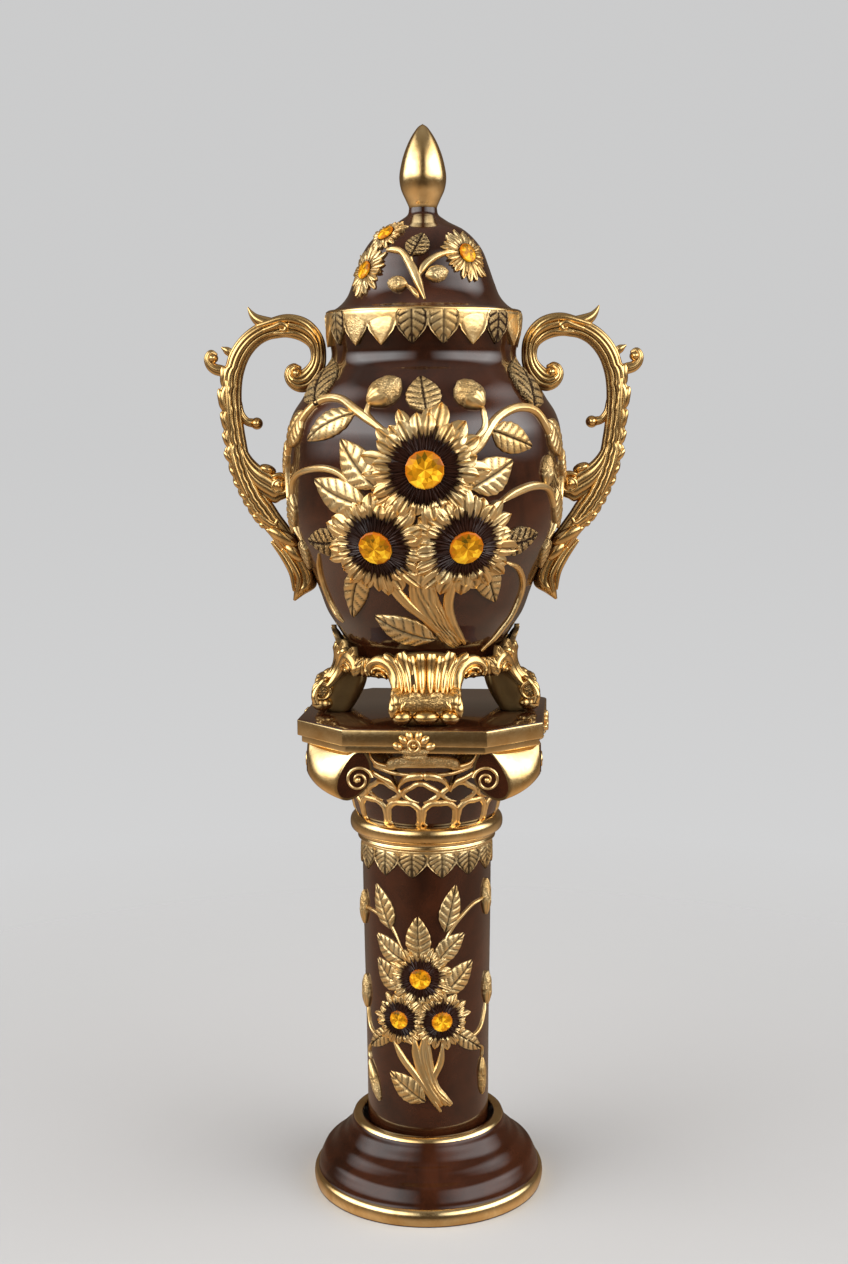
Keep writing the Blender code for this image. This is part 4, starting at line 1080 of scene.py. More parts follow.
def handle_face(bm, line, face):
    """Rolled end, lobes, strands and pods on one face of a handle."""
    knob_x, knob_z, knob = ARM_KNOB
    roll = []
    for t in (i / 18 for i in range(19)):
        turn, reach = math.radians(60.0 + 400.0 * t), knob * (0.90 - 0.50 * t)
        roll.append((knob_x + reach * cos(turn), knob_z + reach * sin(turn), 0.0040))
    sweep(bm, 10, capped(in_plane(roll, 2, 0.020, face * 0.0085)))
    for middle, half, _ in HANDLE_LOBES:
        k = min(range(len(line)), key=lambda i: (line[i][0].x < LOBE_START, abs(line[i][0].z - middle)))
        along = (line[k + 2][0] - line[k - 2][0]).normalized()
        centre, side, _ = line[k]
        out = side.normalized()
        bead(bm, centre + side - out * 0.0042 + Y * (face * 0.0068),
             along * (0.92 * half) + out * (0.16 * half), out * 0.0036, Y * 0.0032, around=14)
    for out, strand in HANDLE_STRANDS:
        sweep(bm, 12, capped(in_plane(strand, 5, 0.0150, face * out)))
    for x, y, z, long_x, long_z, wide_x, wide_z, deep in HANDLE_PODS:
        bead(bm, Vector((x, face * y, z)), Vector((long_x, 0, long_z)), Vector((wide_x, 0, wide_z)), Y * deep,
             around=20)


class TUREEN_OT_handles(bpy.types.Operator):
    """Make the two fluted scroll handles"""
    bl_idname = "tureen.handles"
    bl_label = "Handles"

    def execute(self, context):
        sizes = context.scene.tureen_sizes
        line = between_edges(HANDLE_EDGES, 7, sizes.handle_depth, HANDLE_LOBES)
        for name, side in (("handle_left", -1), ("handle_right", 1)):
            bm = new_piece()
            sweep(bm, 90, capped(line), ridged(5, sizes.flute_depth, 0.12, 0.45))
            for depth, curl in HANDLE_CURLS:
                sweep(bm, 30, capped(in_plane(curl, 5, depth)), ridged(3, 0.08))
            sweep(bm, 64, capped(between_edges(ARM_EDGES, 5, 0.021)), ridged(4, 0.16))
            ball(bm, *ARM_KNOB, 0.0110, 28)
            for x, z, radius, depth in HANDLE_BALLS:
                ball(bm, x, z, radius, depth)
            bead(bm, Vector((0.1600, 0, 0.7590)), Vector((-0.0085, 0, -0.0030)), Vector((-0.0016, 0, 0.0048)),
                 Y * 0.0085, around=20)
            for face in SIDES:
                handle_face(bm, line, face)
            bm.transform(Matrix.Scale(side, 4, X))
            finish_piece(bm, name + "_scroll", "brass", name, 60.0)
        return {"FINISHED"}


# ---------------------------------------------------------------- stand
COLLAR = rows("mm", """
    79 571  83 573.5  86.8 572.5  88.5 568  88 563  89 560  87.8 556  86 554.5  80 554""")
COLLAR_INSIDE = rows("mm", "60 554  60 564.5  73.5 564.5")
COLLAR_WALL = Wall(rows("mm", "89 585  88.5 574  89.2 564  89 556"))
COLLAR_RADIUS = 0.0870
# lobes on the collar between the feet: angle from the middle, half height
COLLAR_LOBES = ((-5.0, 0.0088), (0.0, 0.0100), (5.0, 0.0088))
# shield behind the fan of a foot, and its width on the way up
SHIELD = rows("mm", "106 540  101 544  95.2 551  91.8 559  90.5 568  92.5 582")
SHIELD_WIDTH = rows("sm", "0 29.5  .2 28.5  .4 31  .65 37  .85 40  1 30")
FAN_WALL = Wall(SHIELD)
FAN_LEANS = ((-1, -0.3), (1, 0.9))          # the two sides of the fan, and how far each is turned
# ridges of the fan on one side: width, how much they widen upward, points of angle and height
FAN = lines("ms", "am", """
    9.2 .8   1.6 539.5  2.3 560  3.1 581.2
    8.6 .8   4.7 538.5  6.8 560  9.2 578.6
    10 .9   7.8 539.5  11 561  15.4 582.2
    6.6 .8   10.4 540.5  13.2 560  18.4 576.5
    8 .7   12.8 540.5  15.2 558  20.2 572.2  26.6 578.2
    12.2 -.7   16.9 540  17.6 550  19.8 560  23.8 567.8  28.8 571.8  33.8 570.8  37.6 566.4  38.8 560.8  37.4 556.5
    5.8 0   22.6 558  26.2 563.6  30.6 565.2  33.8 562.2  34 557.8
    5.4 0   24.6 555.6  28 559.6  30.6 558.8  30.2 555.8""")
# leg under the fan: height, middle and half thickness outward, half width
LEG = rows("mmmm", """
    511.8 90.5 13 22.5  515 90.5 16 24  522 89 19 25.5  530 86.5 21 27  540 82 20.5 28.5  548 77.5 17.5 29.2
    556 74.5 14.5 29.8  563 75 11 32""")
ROLL = (0.1062, 0.5345, 0.0108, 0.0318)     # its middle outward and up, radius, half length
# its outline: place along it, and radius there
ROLL_SHAPE = rows("ss", """
    -1 .3  -.995 .78  -.96 .92  -.82 .92  -.66 .8  -.32 .88  0 .78  .32 .88  .66 .8  .82 .92  .96 .92  .995 .78
    1 .3""")
# ridges down both sides of the foot's front: half depth, then points of x, outward, height, half width
FOOT_SIDES = lines("m", "mmmm", """
    3.6   19.5 106 544 2.2  20.8 110.8 538.5 2.6  22.8 113.6 533 2.4  24.6 113.6 529 1.2
    3.6   29.2 104 546 5.2  29.4 109.2 540 5.6  30.6 112.4 534 5.6  32.2 113.4 528 4.6  33 111.8 522.5 2.6""")
# granules over the toes: x, outward, height, size
GRANULES = rows("mmmm", """
    10.5 110.5 542 5  20.5 110.5 540 3.6  3 112.5 538 3.4  26 112.5 536.5 3.4  13 113.5 536 3.4""")
TOES = ((-0.0236, 0.0104), (0.0, 0.0136), (0.0236, 0.0104))     # x, half width
# tall leaf over a side foot, its width on the way up, and the leaves beside it
CREST = rows("mm", "93.5 552  90.5 562  89.8 574  91.5 585  94.2 593.5  95.8 599")
CREST_WIDTH = rows("sm", "0 18  .35 21  .65 16.5  .88 10.5  1 5")
CREST_LEAVES = rows("amamms", "15 560 24 589 17 0  28 557 37 584 16 0  36 554 46 572 14 0")


def stand_foot(whole, move, crested):
    """One acanthus foot: a fan of ridges over a leg, a granular roll, three toes and side curls."""
    part = new_piece()
    shield, crest = smooth(SHIELD, 6), smooth(CREST, 5)

    def backing(u, v, low):
        (r, z), _ = along_line(shield, v)
        x = share(SHIELD_WIDTH, v) * u
        r -= 0.0006 + (0.0105 if low else 0.0)
        bow = (0.25 + 0.75 * v) * x * x / (2.0 * COLLAR_RADIUS)
        # the shield takes painted shade all over, as it lies behind the fan
        return Vector((x, bow - r, z - 0.004 * u * u * v ** 6)), 0.50, 0.0

    def tall_leaf(u, v, low):
        (r, z), way = along_line(crest, v)
        ridge = abs(cos(2.5 * pi * u))
        r += way.y * (0.0014 * ridge) - ((0.0075 - 0.0035 * v) if low else 0.0)
        x = share(CREST_WIDTH, v) * u
        bow = (1.0 - 0.5 * v) * x * x / (2.0 * COLLAR_RADIUS)
        # painted shade on the hem and in the valleys between the ridges
        return Vector((x, bow - r, z - 0.004 * u * u * v)), 1.0 if low else 0.8 * (1.0 - ridge) ** 2, 0.0

    form(part, 24, 18, backing)
    for side, lean in FAN_LEANS:
        for width, flare, places in FAN:
            stem(part, FAN_WALL, width, [(side * angle + lean, height) for angle, height in places], 0.0046,
                 (0.9, 0.62), 1.0, per=5, flare=flare)
    # the leg's section takes painted shade on its sides, darkest on the faces that look sideways
    sweep(part, 44, [(Vector((0, -middle, height)), X * wide, Y * half)
                     for height, middle, half, wide in smooth(LEG, 3)],
          lambda turn, v: (squared(turn), 0.10 + 0.65 * abs(cos(turn)) ** 3, 0.0))
    out, up, radius, half = ROLL
    # the roll's middle is stippled and takes a little painted shade
    sweep(part, 28, [(Vector((half * x, -out, up + 0.0012)), Y * (radius * reach), Z * (radius * reach))
                     for x, reach in ROLL_SHAPE],
          lambda turn, v: (1.0, 0.20, 0.5) if 0.25 < v < 0.75 else (1.0, 0.05, 0.0))
    for side in SIDES:
        end, spiral = Vector((side * half, -out, up)), []
        for t in (i / 24 for i in range(25)):
            turn = math.radians(90 + 400 * t)
            way = Vector((0, -cos(turn), sin(turn)))
            spiral.append((end + way * (radius * (0.84 - 0.14 * t)), way * 0.0021, X * 0.0026))
        sweep(part, 8, spiral)
        bead(part, end - X * (side * 0.0002), X * 0.0016, Y * 0.0064, Z * 0.0064, 0.9, 20)
        for depth, line in FOOT_SIDES:
            sweep(part, 12, capped([(Vector((side * x, -y, z)), X * wide, Y * depth)
                                    for x, y, z, wide in smooth(line, 5)]))
        for x, y, z, size in GRANULES:
            bead(part, Vector((side * x, -y, z)), X * (size * 1.3), Y * (size * 0.8), Z * (size * 0.9), 0.4)
    for x, wide in TOES:
        bead(part, Vector((x, -0.1060, 0.5210)), X * wide, Y * 0.0110, Z * 0.0082, around=24)
    if crested:
        form(part, 30, 24, tall_leaf)
        for side in SIDES:
            for a, b, c, d, width, grain in CREST_LEAVES:
                leaf(part, COLLAR_WALL, (side * a, b, side * c, d, width, grain), 0.0050, LEAF, 3, 16, 20)
    take_in(whole, part, move)


class TUREEN_OT_stand(bpy.types.Operator):
    """Make the four-footed stand"""
    bl_idname = "tureen.stand"
    bl_label = "Stand"

    def execute(self, context):
        bm = turned(smooth(COLLAR, 4) + COLLAR_INSIDE)
        for quarter, move in enumerate(quarter_turns()):
            stand_foot(bm, move, quarter % 2 == 1)
            for lean, half in COLLAR_LOBES:
                angle = math.radians(45 + 90 * quarter + lean)
                out, side = Vector((sin(angle), -cos(angle), 0)), Vector((cos(angle), sin(angle), 0))
                bead(bm, out * 0.0880 + Z * 0.5640, Z * half, side * 0.0042, out * 0.0040, around=14)
        finish_piece(bm, "stand_feet", "brass", "foot_stand", 55.0)
        return {"FINISHED"}


# ---------------------------------------------------------------- capital
# eight-sided slabs: distance to a long side, half a long side, lower and upper face, softness of the edges
PLATE_EDGE = (0.1235, 0.0710, 0.4945, 0.5106, 0.0012)
PLATE = (0.1226, 0.0707, 0.4975, 0.5112, 0.0009)
NECK_PLATE = (0.1195, 0.0690, 0.4870, 0.4965, 0.0018)
SCROLL_TURN = -2.0                          # the scrolls stand turned less than the plate
VOLUTE_FRONT = 0.1090                       # how far forward the large faces are
VOLUTE_SIDE = 0.1165                        # and how far to the side the small ones are
SMALLER = 0.62
# outline of a large face, its middle, and the eyes of both spirals
VOLUTE = rows("mm", """
    56 488  65 488  74 479  80.5 468  84.8 457  85.5 447  82 440.2  74 438  66 440.8  58 447.5  52 455  50 466
    51 478  56 488""")
VOLUTE_X, VOLUTE_Z, VOLUTE_TOP = 0.0680, 0.4630, 0.4880
FRONT_EYE, SIDE_EYE = Vector((0.0630, -0.1098, 0.4590)), Vector((0.1173, -0.0640, 0.4700))
# cells of the bell: count, first angle; then for both rows the shift, lower and upper end, width,
# outline and width of the rib round a cell
CELLS, CELL_TURN = 13, 15.4
CELL_ROWS = ((0.0, 0.4040, 0.4262, 0.0300, BLOCK, 0.0072), (0.5, 0.4290, 0.4480, 0.0330, ALMOND, 0.0062))
# gold strands between the bell and the scrolls, right half: thickness, points of x and height
CAPITAL_STRANDS = lines("m", "mm", """
    2   0 458.5  14 459  28 460.5  40 465  48 469
    4.2   3 458.3  8 458  16 456  22.5 451  25 446
    3.2   49 461  40 455.5  32 451  27.5 444
    2   0 469  16 468.8  30 467.5
    3   30 467.5  40 469  47 472  52 479""")
BAR_STEPS = (-0.0325, -0.030, -0.024, -0.016, -0.008, 0.0, 0.008, 0.016, 0.024, 0.030, 0.0325)
# petals of the flower on the plate's edge: x, height, angle, half length
PLATE_PETALS = rows("mmam", """
    -16 495 -70 5  -10.5 501.5 -45 5.2  -4.5 505 -18 5  4.5 505 18 5  10.5 501.5 45 5.2  16 495 70 5""")
PLATE_FLOWER = Vector((0, -0.1245, 0.4960))
# the stippled drop under it: outward, height, half length, half depth, half height
DROPLETS = rows("mmmmm", "121.2 489.5 15 4 4  113 483.2 12.5 10 4.8")


def octagon(half, face, low, high, soft):
    """A square slab with its corners cut off and its edges softened."""
    bm = new_piece()
    corners = [bm.verts.new(move @ Vector((x, -half, low))) for move in quarter_turns() for x in (-face, face)]
    top = bmesh.ops.extrude_face_region(bm, geom=[bm.faces.new(corners)])["geom"]
    bmesh.ops.translate(bm, verts=[part for part in top if isinstance(part, bmesh.types.BMVert)],
                        vec=Z * (high - low))
    bmesh.ops.recalc_face_normals(bm, faces=bm.faces)
    bmesh.ops.bevel(bm, geom=bm.edges[:], offset=soft, offset_type="OFFSET", affect="EDGES", segments=3,
                    profile=0.5, material=-1)
    return bm


def volute_point(line, s, t, grow=1.0):
    """A point of the front right scroll: s goes round it, t from its front face to its side face."""
    spot, _ = along_line(line, s)
    x, z = VOLUTE_X + (spot.x - VOLUTE_X) * grow, VOLUTE_Z + (spot.y - VOLUTE_Z) * grow
    front = Vector((x, -VOLUTE_FRONT, z))
    side = Vector((VOLUTE_SIDE, -0.0660 - (x - VOLUTE_X) * SMALLER, VOLUTE_TOP + (z - VOLUTE_TOP) * SMALLER))
    knee = (front + side) * 0.5 + (X - Y) * (0.0085 * clamp((x - 0.058) / 0.022) - 0.0015) - Z * 0.0030
    return front * (1 - t) ** 2 + knee * (2 * t * (1 - t)) + side * t ** 2


def coil(whole, centre, out, right, radius, thick):
    """A flat spiral with a bead in its middle, drawn in a plane given by its outward and right directions."""
    spots = []
    for t in (i / 36 for i in range(37)):
        bend = math.radians(170.0 - 610.0 * t)
        way = right * cos(bend) + Z * sin(bend)
        spots.append((centre + way * (radius * (1.0 - 0.84 * t)), way * (thick * (1.0 - 0.3 * t)), out * thick))
    sweep(whole, 10, spots)
    bead(whole, centre, out * (1.5 * thick), right * 0.0026, Z * 0.0026)


def bell_front(x, z):
    """How far forward a strand of the capital lies: on the bell, and towards the scroll at its end."""
    r = BELL_WALL.radius(z) + 0.0010
    return sqrt(max(r * r - x * x, 0.0)) + 0.55 * max(x - 0.025, 0.0)


def make_scrolls(scroll_turn):
    """The four corner scrolls with their brown faces and gold spirals."""
    line = smooth(VOLUTE, 4)
    scrolls, panels, spirals = new_piece(), new_piece(), new_piece()
    for flip_x in (1, -1):
        for flip_y in (1, -1):
            pillow, inlay, curl = new_piece(), new_piece(), new_piece()
            tube(pillow, 60, 18, lambda turn, j: (volute_point(line, turn / tau, j / 18), 0.0, 0.0))
            for end, out in ((0.0, -Y), (1.0, X)):
                tube(inlay, 60, 1, lambda turn, j: (
                    volute_point(line, turn / tau, end, 0.90) + out * (0.0028 * j - 0.0020), 0.0, 0.0))
            coil(curl, FRONT_EYE, -Y, X, 0.0135, 0.0017)
            coil(curl, SIDE_EYE, X, -Y, 0.0085, 0.0014)
            for part, whole in ((pillow, scrolls), (inlay, panels), (curl, spirals)):
                take_in(whole, part, scroll_turn @ Matrix.Diagonal((flip_x, flip_y, 1, 1)))
    finish_piece(scrolls, "capital_scrolls", "plain_gold", sharp=55.0)
    finish_piece(panels, "capital_scroll_faces", "brown", sharp=40.0)
    finish_piece(spirals, "capital_spirals", "gold")


def make_cells(ribs):
    """The brown cells of the bell, as a piece, with gold ribs round them."""
    cells = new_piece()
    steps = [k / 8 for k in range(9)]
    for angle in (CELL_TURN + 360.0 * i / CELLS for i in range(CELLS)):
        for shift, foot, top, width, table, rib in CELL_ROWS:
            middle = angle + shift * 360.0 / CELLS
            leaf(cells, BELL_WALL, (middle, foot, middle, top, width, 0.0), 0.0016, table, 0, 12, 14, depth=0.0)
            ring = []
            for v, side in [(v, -1) for v in steps] + [(1.0, 0)] + [(v, 1) for v in steps[::-1]]:
                height = foot + (top - foot) * v + (0.0016 if v > 0.95 else 0.0)
                reach = side * (0.5 * width * share(table, v) + 0.0014)
                ring.append((middle + math.degrees(reach / BELL_WALL.radius(height)), height))
            stem(ribs, BELL_WALL, rib, ring, 0.0032, (1.0, 0.9), 1.0, 8, 3)
    finish_piece(cells, "capital_cells", "brown")


def add_strands(part):
    """The gold strands and the bar at the front of the bell."""
    for thick, points in CAPITAL_STRANDS:
        for side in SIDES:
            sweep(part, 14, capped([(Vector((side * x, -bell_front(x, z), z)), Z * thick, Y * (0.9 * thick))
                                    for x, z in smooth(points, 5)]))
    bar = [(Vector((x, -bell_front(abs(x), 0.4760), 0.4752 - 0.0035 * abs(x / 0.033) ** 3)),
            Z * 0.0048, Y * 0.0052) for x in BAR_STEPS]
    sweep(part, 20, capped(bar), lambda turn, v: (squared(turn), 0.05, 0.45))


def add_plate_flower(part):
    """The flower on the edge of the plate, and the stippled drop under it."""
    for x, z, lean, size in PLATE_PETALS:
        lean = math.radians(lean)
        bead(part, Vector((x, -0.1240, z)), Vector((sin(lean), 0, cos(lean))) * size,
             Vector((cos(lean), 0, -sin(lean))) * 0.0034, Y * 0.0034)
    ways = [Vector((cos(turn), 0, sin(turn))) for turn in (tau * i / 16 for i in range(17))]
    sweep(part, 10, [(PLATE_FLOWER - Y * 0.0007 + way * 0.0056, way * 0.0016, Y * 0.0022) for way in ways])
    bead(part, PLATE_FLOWER, Y * 0.0024, X * 0.0024, Z * 0.0024)
    for out, height, long, deep, high in DROPLETS:
        bead(part, Vector((0, -out, height)), X * long, Y * deep, Z * high, 0.6, 14)


class TUREEN_OT_capital(bpy.types.Operator):
    """Make the capital: plate, corner scrolls, bell with its cells, and necking"""
    bl_idname = "tureen.capital"
    bl_label = "Capital"

    def execute(self, context):
        plate_turn, scroll_turn = (
            Matrix.Rotation(math.radians(angle), 4, "Z") for angle in (COLUMN_TURN, SCROLL_TURN))
        for name, slab, finish in (("capital_plate_edge", PLATE_EDGE, "plain_gold"),
                                   ("capital_plate", PLATE, "brown"),
                                   ("capital_plate_neck", NECK_PLATE, "plain_gold")):
            bm = octagon(*slab)
            bm.transform(plate_turn)
            finish_piece(bm, name, finish, sharp=30.0)
        finish_piece(turned(BELL_TOP + smooth(BELL, 5) + BELL_INSIDE), "capital_bell", "brown", "capital")
        finish_piece(turned(smooth(TORUS, 4) + TORUS_INSIDE), "capital_necking", "plain_gold")
        make_scrolls(scroll_turn)
        ribs = new_piece()
        make_cells(ribs)
        for around in quarter_turns():
            for add, turn in ((add_strands, scroll_turn), (add_plate_flower, plate_turn)):
                part = new_piece()
                add(part)
                take_in(ribs, part, turn @ around)
        finish_piece(ribs, "capital_ribs", "gold")
        return {"FINISHED"}


# ---------------------------------------------------------------- shaft and base
class TUREEN_OT_shaft(bpy.types.Operator):
    """Make the column's shaft with its border and its sprig"""
    bl_idname = "tureen.shaft"
    bl_label = "Shaft"

    def execute(self, context):
        sizes = context.scene.tureen_sizes
        bore = [(SHAFT_BORE, height) for _, height in (SHAFT[-1], SHAFT[0])]
        finish_piece(turned(smooth(SHAFT, 10) + bore), "shaft_tube", "brown", "shaft")
        border = hanging_leaves(SHAFT_WALL, SHAFT_BORDER, 0.0021, LEAFLET, 5, SHAFT_MOODS, 2.0)
        finish_piece(border, "shaft_border", "gold")
        finish_piece(band(SHAFT_WALL, *SHAFT_BAND), "shaft_band", "gold")
        gold, dark = sprig(SHAFT_WALL, SHAFT_FLOWERS, SHAFT_LEAVES, SHAFT_STEMS, SHAFT_BUDS,
                           (sizes.small_lift, sizes.small_leaf_lift, 0.0034), 21, 47, 0.85, 2.0)
        finish_piece(gold, "shaft_sprig", "gold")
        finish_piece(dark, "shaft_flower_discs", "fringe")
        return {"FINISHED"}


class TUREEN_OT_base(bpy.types.Operator):
    """Make the stepped round base"""
    bl_idname = "tureen.base"
    bl_label = "Base"

    def execute(self, context):
        finish_piece(turned(smooth(BASE, 5) + BASE_INSIDE), "base_step", "foot_brown", "pedestal_base")
        finish_piece(turned(BASE_RING), "base_ring", "plain_gold")
        finish_piece(turned(BASE_FOOT), "base_foot_band", "plain_gold")
        return {"FINISHED"}


# ---------------------------------------------------------------- jewels
STONE_SIDES = 14
STONE_SUNK = 0.0012                         # how deep a stone sits in its disc
# rings of corners: share of the radius outward and up, turn in sides
STONE_RINGS = ((1.0, 0.12, 0.0), (0.93, 0.19, 0.0), (0.66, 0.27, 0.5), (0.42, 0.285, 0.0))


def cut_stone(name, wall, places, lift, node, dice):
    """A round cut stone: facets rise in rings to a broad table."""
    angle, height, _, _, radius = places
    bm = bmesh.new()
    shade, edge = bm.faces.layers.float.new("facet"), bm.faces.layers.float.new("rim")
    foot = lift - STONE_SUNK
    ring = bmesh.ops.create_circle(bm, cap_ends=True, segments=STONE_SIDES, radius=radius)["verts"]
    bmesh.ops.translate(bm, verts=ring, vec=Z * foot)
    first = loop = list(bm.edges)
    bmesh.ops.delete(bm, geom=list(bm.faces), context="FACES_ONLY")
    reach, turn = 1.0, 0.0
    for far, rise, half_turn in STONE_RINGS:
        made = bmesh.ops.extrude_edge_only(bm, edges=loop)["geom"]
        verts = [part for part in made if isinstance(part, bmesh.types.BMVert)]
        loop = [part for part in made if isinstance(part, bmesh.types.BMEdge)
                and all(vert in verts for vert in part.verts)]
        spin = Matrix.Rotation((half_turn - turn) * tau / STONE_SIDES, 4, "Z")
        bmesh.ops.transform(bm, matrix=spin @ Matrix.Scale(far / reach, 4), verts=verts)
        for vert in verts:
            vert.co.z = foot + rise * radius
        reach, turn = far, half_turn
    bmesh.ops.holes_fill(bm, edges=loop + first, sides=0)
    bmesh.ops.poke(bm, faces=[max(bm.faces, key=lambda face: face.calc_center_median().z)])
    bmesh.ops.triangulate(bm, faces=[face for face in bm.faces if len(face.verts) == 4])
    for face in sorted(bm.faces, key=lambda face: [round(c, 6) for c in face.calc_center_median()]):
        x, y, _ = face.calc_center_median()
        far = math.hypot(x, y) / radius
        face[edge] = 1.0 if far > 0.90 else 0.45 if far > 0.75 else 0.0
        # painted light on the facets: lower facets lighter, every other sector lighter, with a random part
        sector = int((math.atan2(y, x) / tau + 1.0) * 8.0)
        low = 0.5 - 0.5 * y / radius
        face[shade] = clamp(dice.uniform(-0.15, 0.20) + 0.30 * (sector % 2) + 0.65 * low - 0.05)
    run, around = wall.run_at(height), math.radians(angle + wall.turn)
    middle = wall.place(angle, run)
    out = (wall.place(angle, run, lift=0.01) - middle).normalized()
    side = Vector((cos(around), sin(around), 0.0))
    axes = Matrix((side, out.cross(side), out)).transposed().to_4x4()
    bm.transform(Matrix.Translation(middle) @ axes)
    finish_piece(bm, name, "amber", node, sharp=0.0)


class TUREEN_OT_jewels(bpy.types.Operator):
    """Set the nine cut jewels"""
    bl_idname = "tureen.jewels"
    bl_label = "Jewels"

    def execute(self, context):
        sizes = context.scene.tureen_sizes
        dice = random.Random(3)
        for where, wall, flowers, lift in (
                ("urn", URN_WALL, URN_FLOWERS, sizes.urn_lift),
                ("lid", DOME_WALL, LID_FLOWERS, sizes.small_lift),
                ("shaft", SHAFT_WALL, SHAFT_FLOWERS, sizes.small_lift)):
            for i, places in enumerate((places for places in flowers if places[-1]), 1):
                cut_stone(f"{where}_jewel_{i}", wall, places, lift, f"jewel_{where}_{i}", dice)
        return {"FINISHED"}


# ---------------------------------------------------------------- stage
CAMERA_PLACE = (-0.0015, -1.73158, 0.82156)
CAMERA_DOWN = 7.597                         # degrees below the horizon
CAMERA_ROLL = -0.34
CAMERA_LENS = 48.13
# soft boxes: name, place, size, power, where they aim
SOFT_BOXES = (
    ("soft_box_left", (-1.60, -0.90, 1.50), (0.90, 1.10), 7.0, (0, 0, 0.62)),
    ("soft_box_right", (1.60, -0.90, 1.50), (0.90, 1.10), 6.0, (0, 0, 0.62)),
    ("soft_box_top", (0.0, 0.10, 2.60), (2.20, 2.20), 9.0, (0, 0, 0.0)),
)
# surroundings that light the object: bright panels at both sides and a pale ground, dark in front;
# each pair is where a part of them begins and where it is full, as a share of a direction
PANEL_FRONT = (0.12, 0.62)
PANEL_BACK = (0.45, 0.00)
PANEL_FOOT = (-0.02, 0.24)
PANEL_TOP = (0.80, 0.52)
PANEL_LIGHT = 3.9
BELOW = (0.0, -0.25)
BELOW_SIDES = (0.30, 0.75)
BELOW_LIGHT = 0.16
NEAR_FLOOR = (-0.28, -0.60)
NEAR_FLOOR_LIGHT = 0.28
FRONT_AND_BACK = (0.06, 0.10)
ABOVE = (0.6, 1.0)
TOP_LIGHT = 0.20
WARMTH = (1.15, 0.85, 0.62)                 # tint of what is behind and below
BACKDROP = ((0.600, 0.601, 0.603), (0.690, 0.690, 0.692))   # what is seen behind, level and far down
BACKDROP_FALL = (-0.02, -0.45)


def surroundings():
    """The world that lights the object and is seen behind it."""
    world = bpy.data.worlds.new("studio")
    world.use_nodes = True
    world.node_tree.nodes.clear()
    sky = Nodes(world.node_tree)
    way = sky.node("ShaderNodeTexCoord", {}, {}, "Generated")
    x, y, z = (sky.node("ShaderNodeSeparateXYZ", {}, {0: way}, axis) for axis in "XYZ")
    panels = sky.held(abs(x), *PANEL_FRONT) * sky.held(y, *PANEL_BACK) * sky.held(z, *PANEL_FOOT)
    panels = panels * sky.held(z, *PANEL_TOP)
    below = sky.held(z, *BELOW) * sky.held(abs(x), *BELOW_SIDES)
    white = panels * PANEL_LIGHT + sky.held(z, *ABOVE, 0.0, TOP_LIGHT)
    warm = sky.held(y, -1.0, 1.0, *FRONT_AND_BACK) + below * BELOW_LIGHT
    warm = warm + sky.held(z, *NEAR_FLOOR, 0.0, NEAR_FLOOR_LIGHT)
    cast = sky.node("ShaderNodeCombineColor", {}, {i: white + warm * WARMTH[i] for i in range(3)})
    seen = sky.node("ShaderNodeValToRGB", {"stops": tuple(enumerate(BACKDROP))},
                    {"Fac": sky.held(z, *BACKDROP_FALL)})
    light = sky.node("ShaderNodeMixShader", {}, {
        0: sky.node("ShaderNodeLightPath", {}, {}, "Is Camera Ray"),
        1: sky.node("ShaderNodeBackground", {}, {"Color": cast}),
        2: sky.node("ShaderNodeBackground", {}, {"Color": seen})})
    sky.node("ShaderNodeOutputWorld", {}, {"Surface": light}, None)
    return world


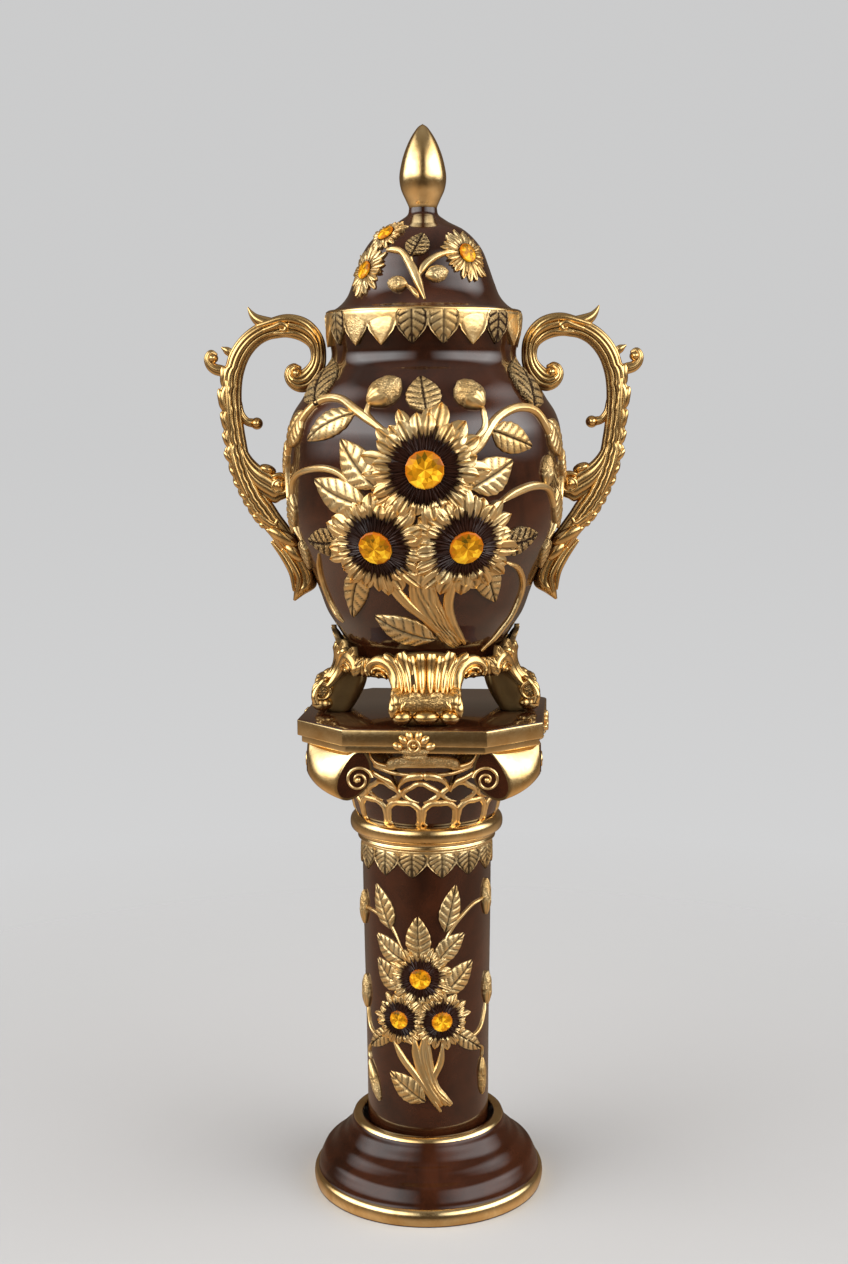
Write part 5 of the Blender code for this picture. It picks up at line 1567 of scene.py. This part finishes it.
class TUREEN_OT_stage(bpy.types.Operator):
    """Set up the pale studio: floor, soft lights, surroundings and camera"""
    bl_idname = "tureen.stage"
    bl_label = "Studio"

    def execute(self, context):
        scene = context.scene
        bm = bmesh.new()
        bmesh.ops.create_circle(bm, cap_ends=True, segments=96, radius=2.0)
        floor = as_object(bm, "studio_floor", finishes()["floor"][0])
        floor.visible_glossy = False

        for name, place, (wide, high), power, aim in SOFT_BOXES:
            light = bpy.data.lights.new(name, "AREA")
            light.shape = "RECTANGLE"
            light.size, light.size_y, light.energy = wide, high, power
            lamp = bpy.data.objects.new(name, light)
            lamp.location = place
            lamp.rotation_euler = (Vector(aim) - Vector(place)).to_track_quat("-Z", "Y").to_euler()
            lamp.visible_camera = lamp.visible_glossy = False
            scene.collection.objects.link(lamp)

        scene.world = surroundings()
        scene.view_settings.view_transform = "Standard"

        lens = bpy.data.cameras.new("camera")
        lens.sensor_fit = "VERTICAL"
        lens.sensor_height, lens.lens, lens.clip_start = 36.0, CAMERA_LENS, 0.05
        camera = bpy.data.objects.new("camera", lens)
        camera.matrix_world = (Matrix.Translation(CAMERA_PLACE)
                               @ Matrix.Rotation(math.radians(90.0 - CAMERA_DOWN), 4, "X")
                               @ Matrix.Rotation(math.radians(CAMERA_ROLL), 4, "Z"))
        scene.collection.objects.link(camera)
        scene.camera = camera
        return {"FINISHED"}


# ---------------------------------------------------------------- panel and registration
STEPS = (
    TUREEN_OT_urn, TUREEN_OT_urn_relief, TUREEN_OT_lid, TUREEN_OT_handles, TUREEN_OT_stand,
    TUREEN_OT_capital, TUREEN_OT_shaft, TUREEN_OT_base, TUREEN_OT_jewels, TUREEN_OT_stage,
)


class TUREEN_PT_panel(bpy.types.Panel):
    """Lists the sizes, the colours and the steps"""
    bl_label = "Tureen"
    bl_idname = "TUREEN_PT_panel"
    bl_space_type = "VIEW_3D"
    bl_region_type = "UI"
    bl_category = "Tureen"

    def draw(self, context):
        layout = self.layout
        for group in (context.scene.tureen_sizes, context.scene.tureen_colours):
            for name in group.__annotations__:
                layout.prop(group, name)
        for step in STEPS:
            layout.operator(step.bl_idname)


def register():
    for kind in (TureenSizes, TureenColours) + STEPS + (TUREEN_PT_panel,):
        bpy.utils.register_class(kind)
    bpy.types.Scene.tureen_sizes = bpy.props.PointerProperty(type=TureenSizes)
    bpy.types.Scene.tureen_colours = bpy.props.PointerProperty(type=TureenColours)


def unregister():
    del bpy.types.Scene.tureen_sizes, bpy.types.Scene.tureen_colours
    for kind in (TUREEN_PT_panel,) + STEPS[::-1] + (TureenColours, TureenSizes):
        bpy.utils.unregister_class(kind)


def main():
    register()
    for step in STEPS:
        group, name = step.bl_idname.split(".")
        getattr(getattr(bpy.ops, group), name)()


if __name__ == "__main__":
    main()
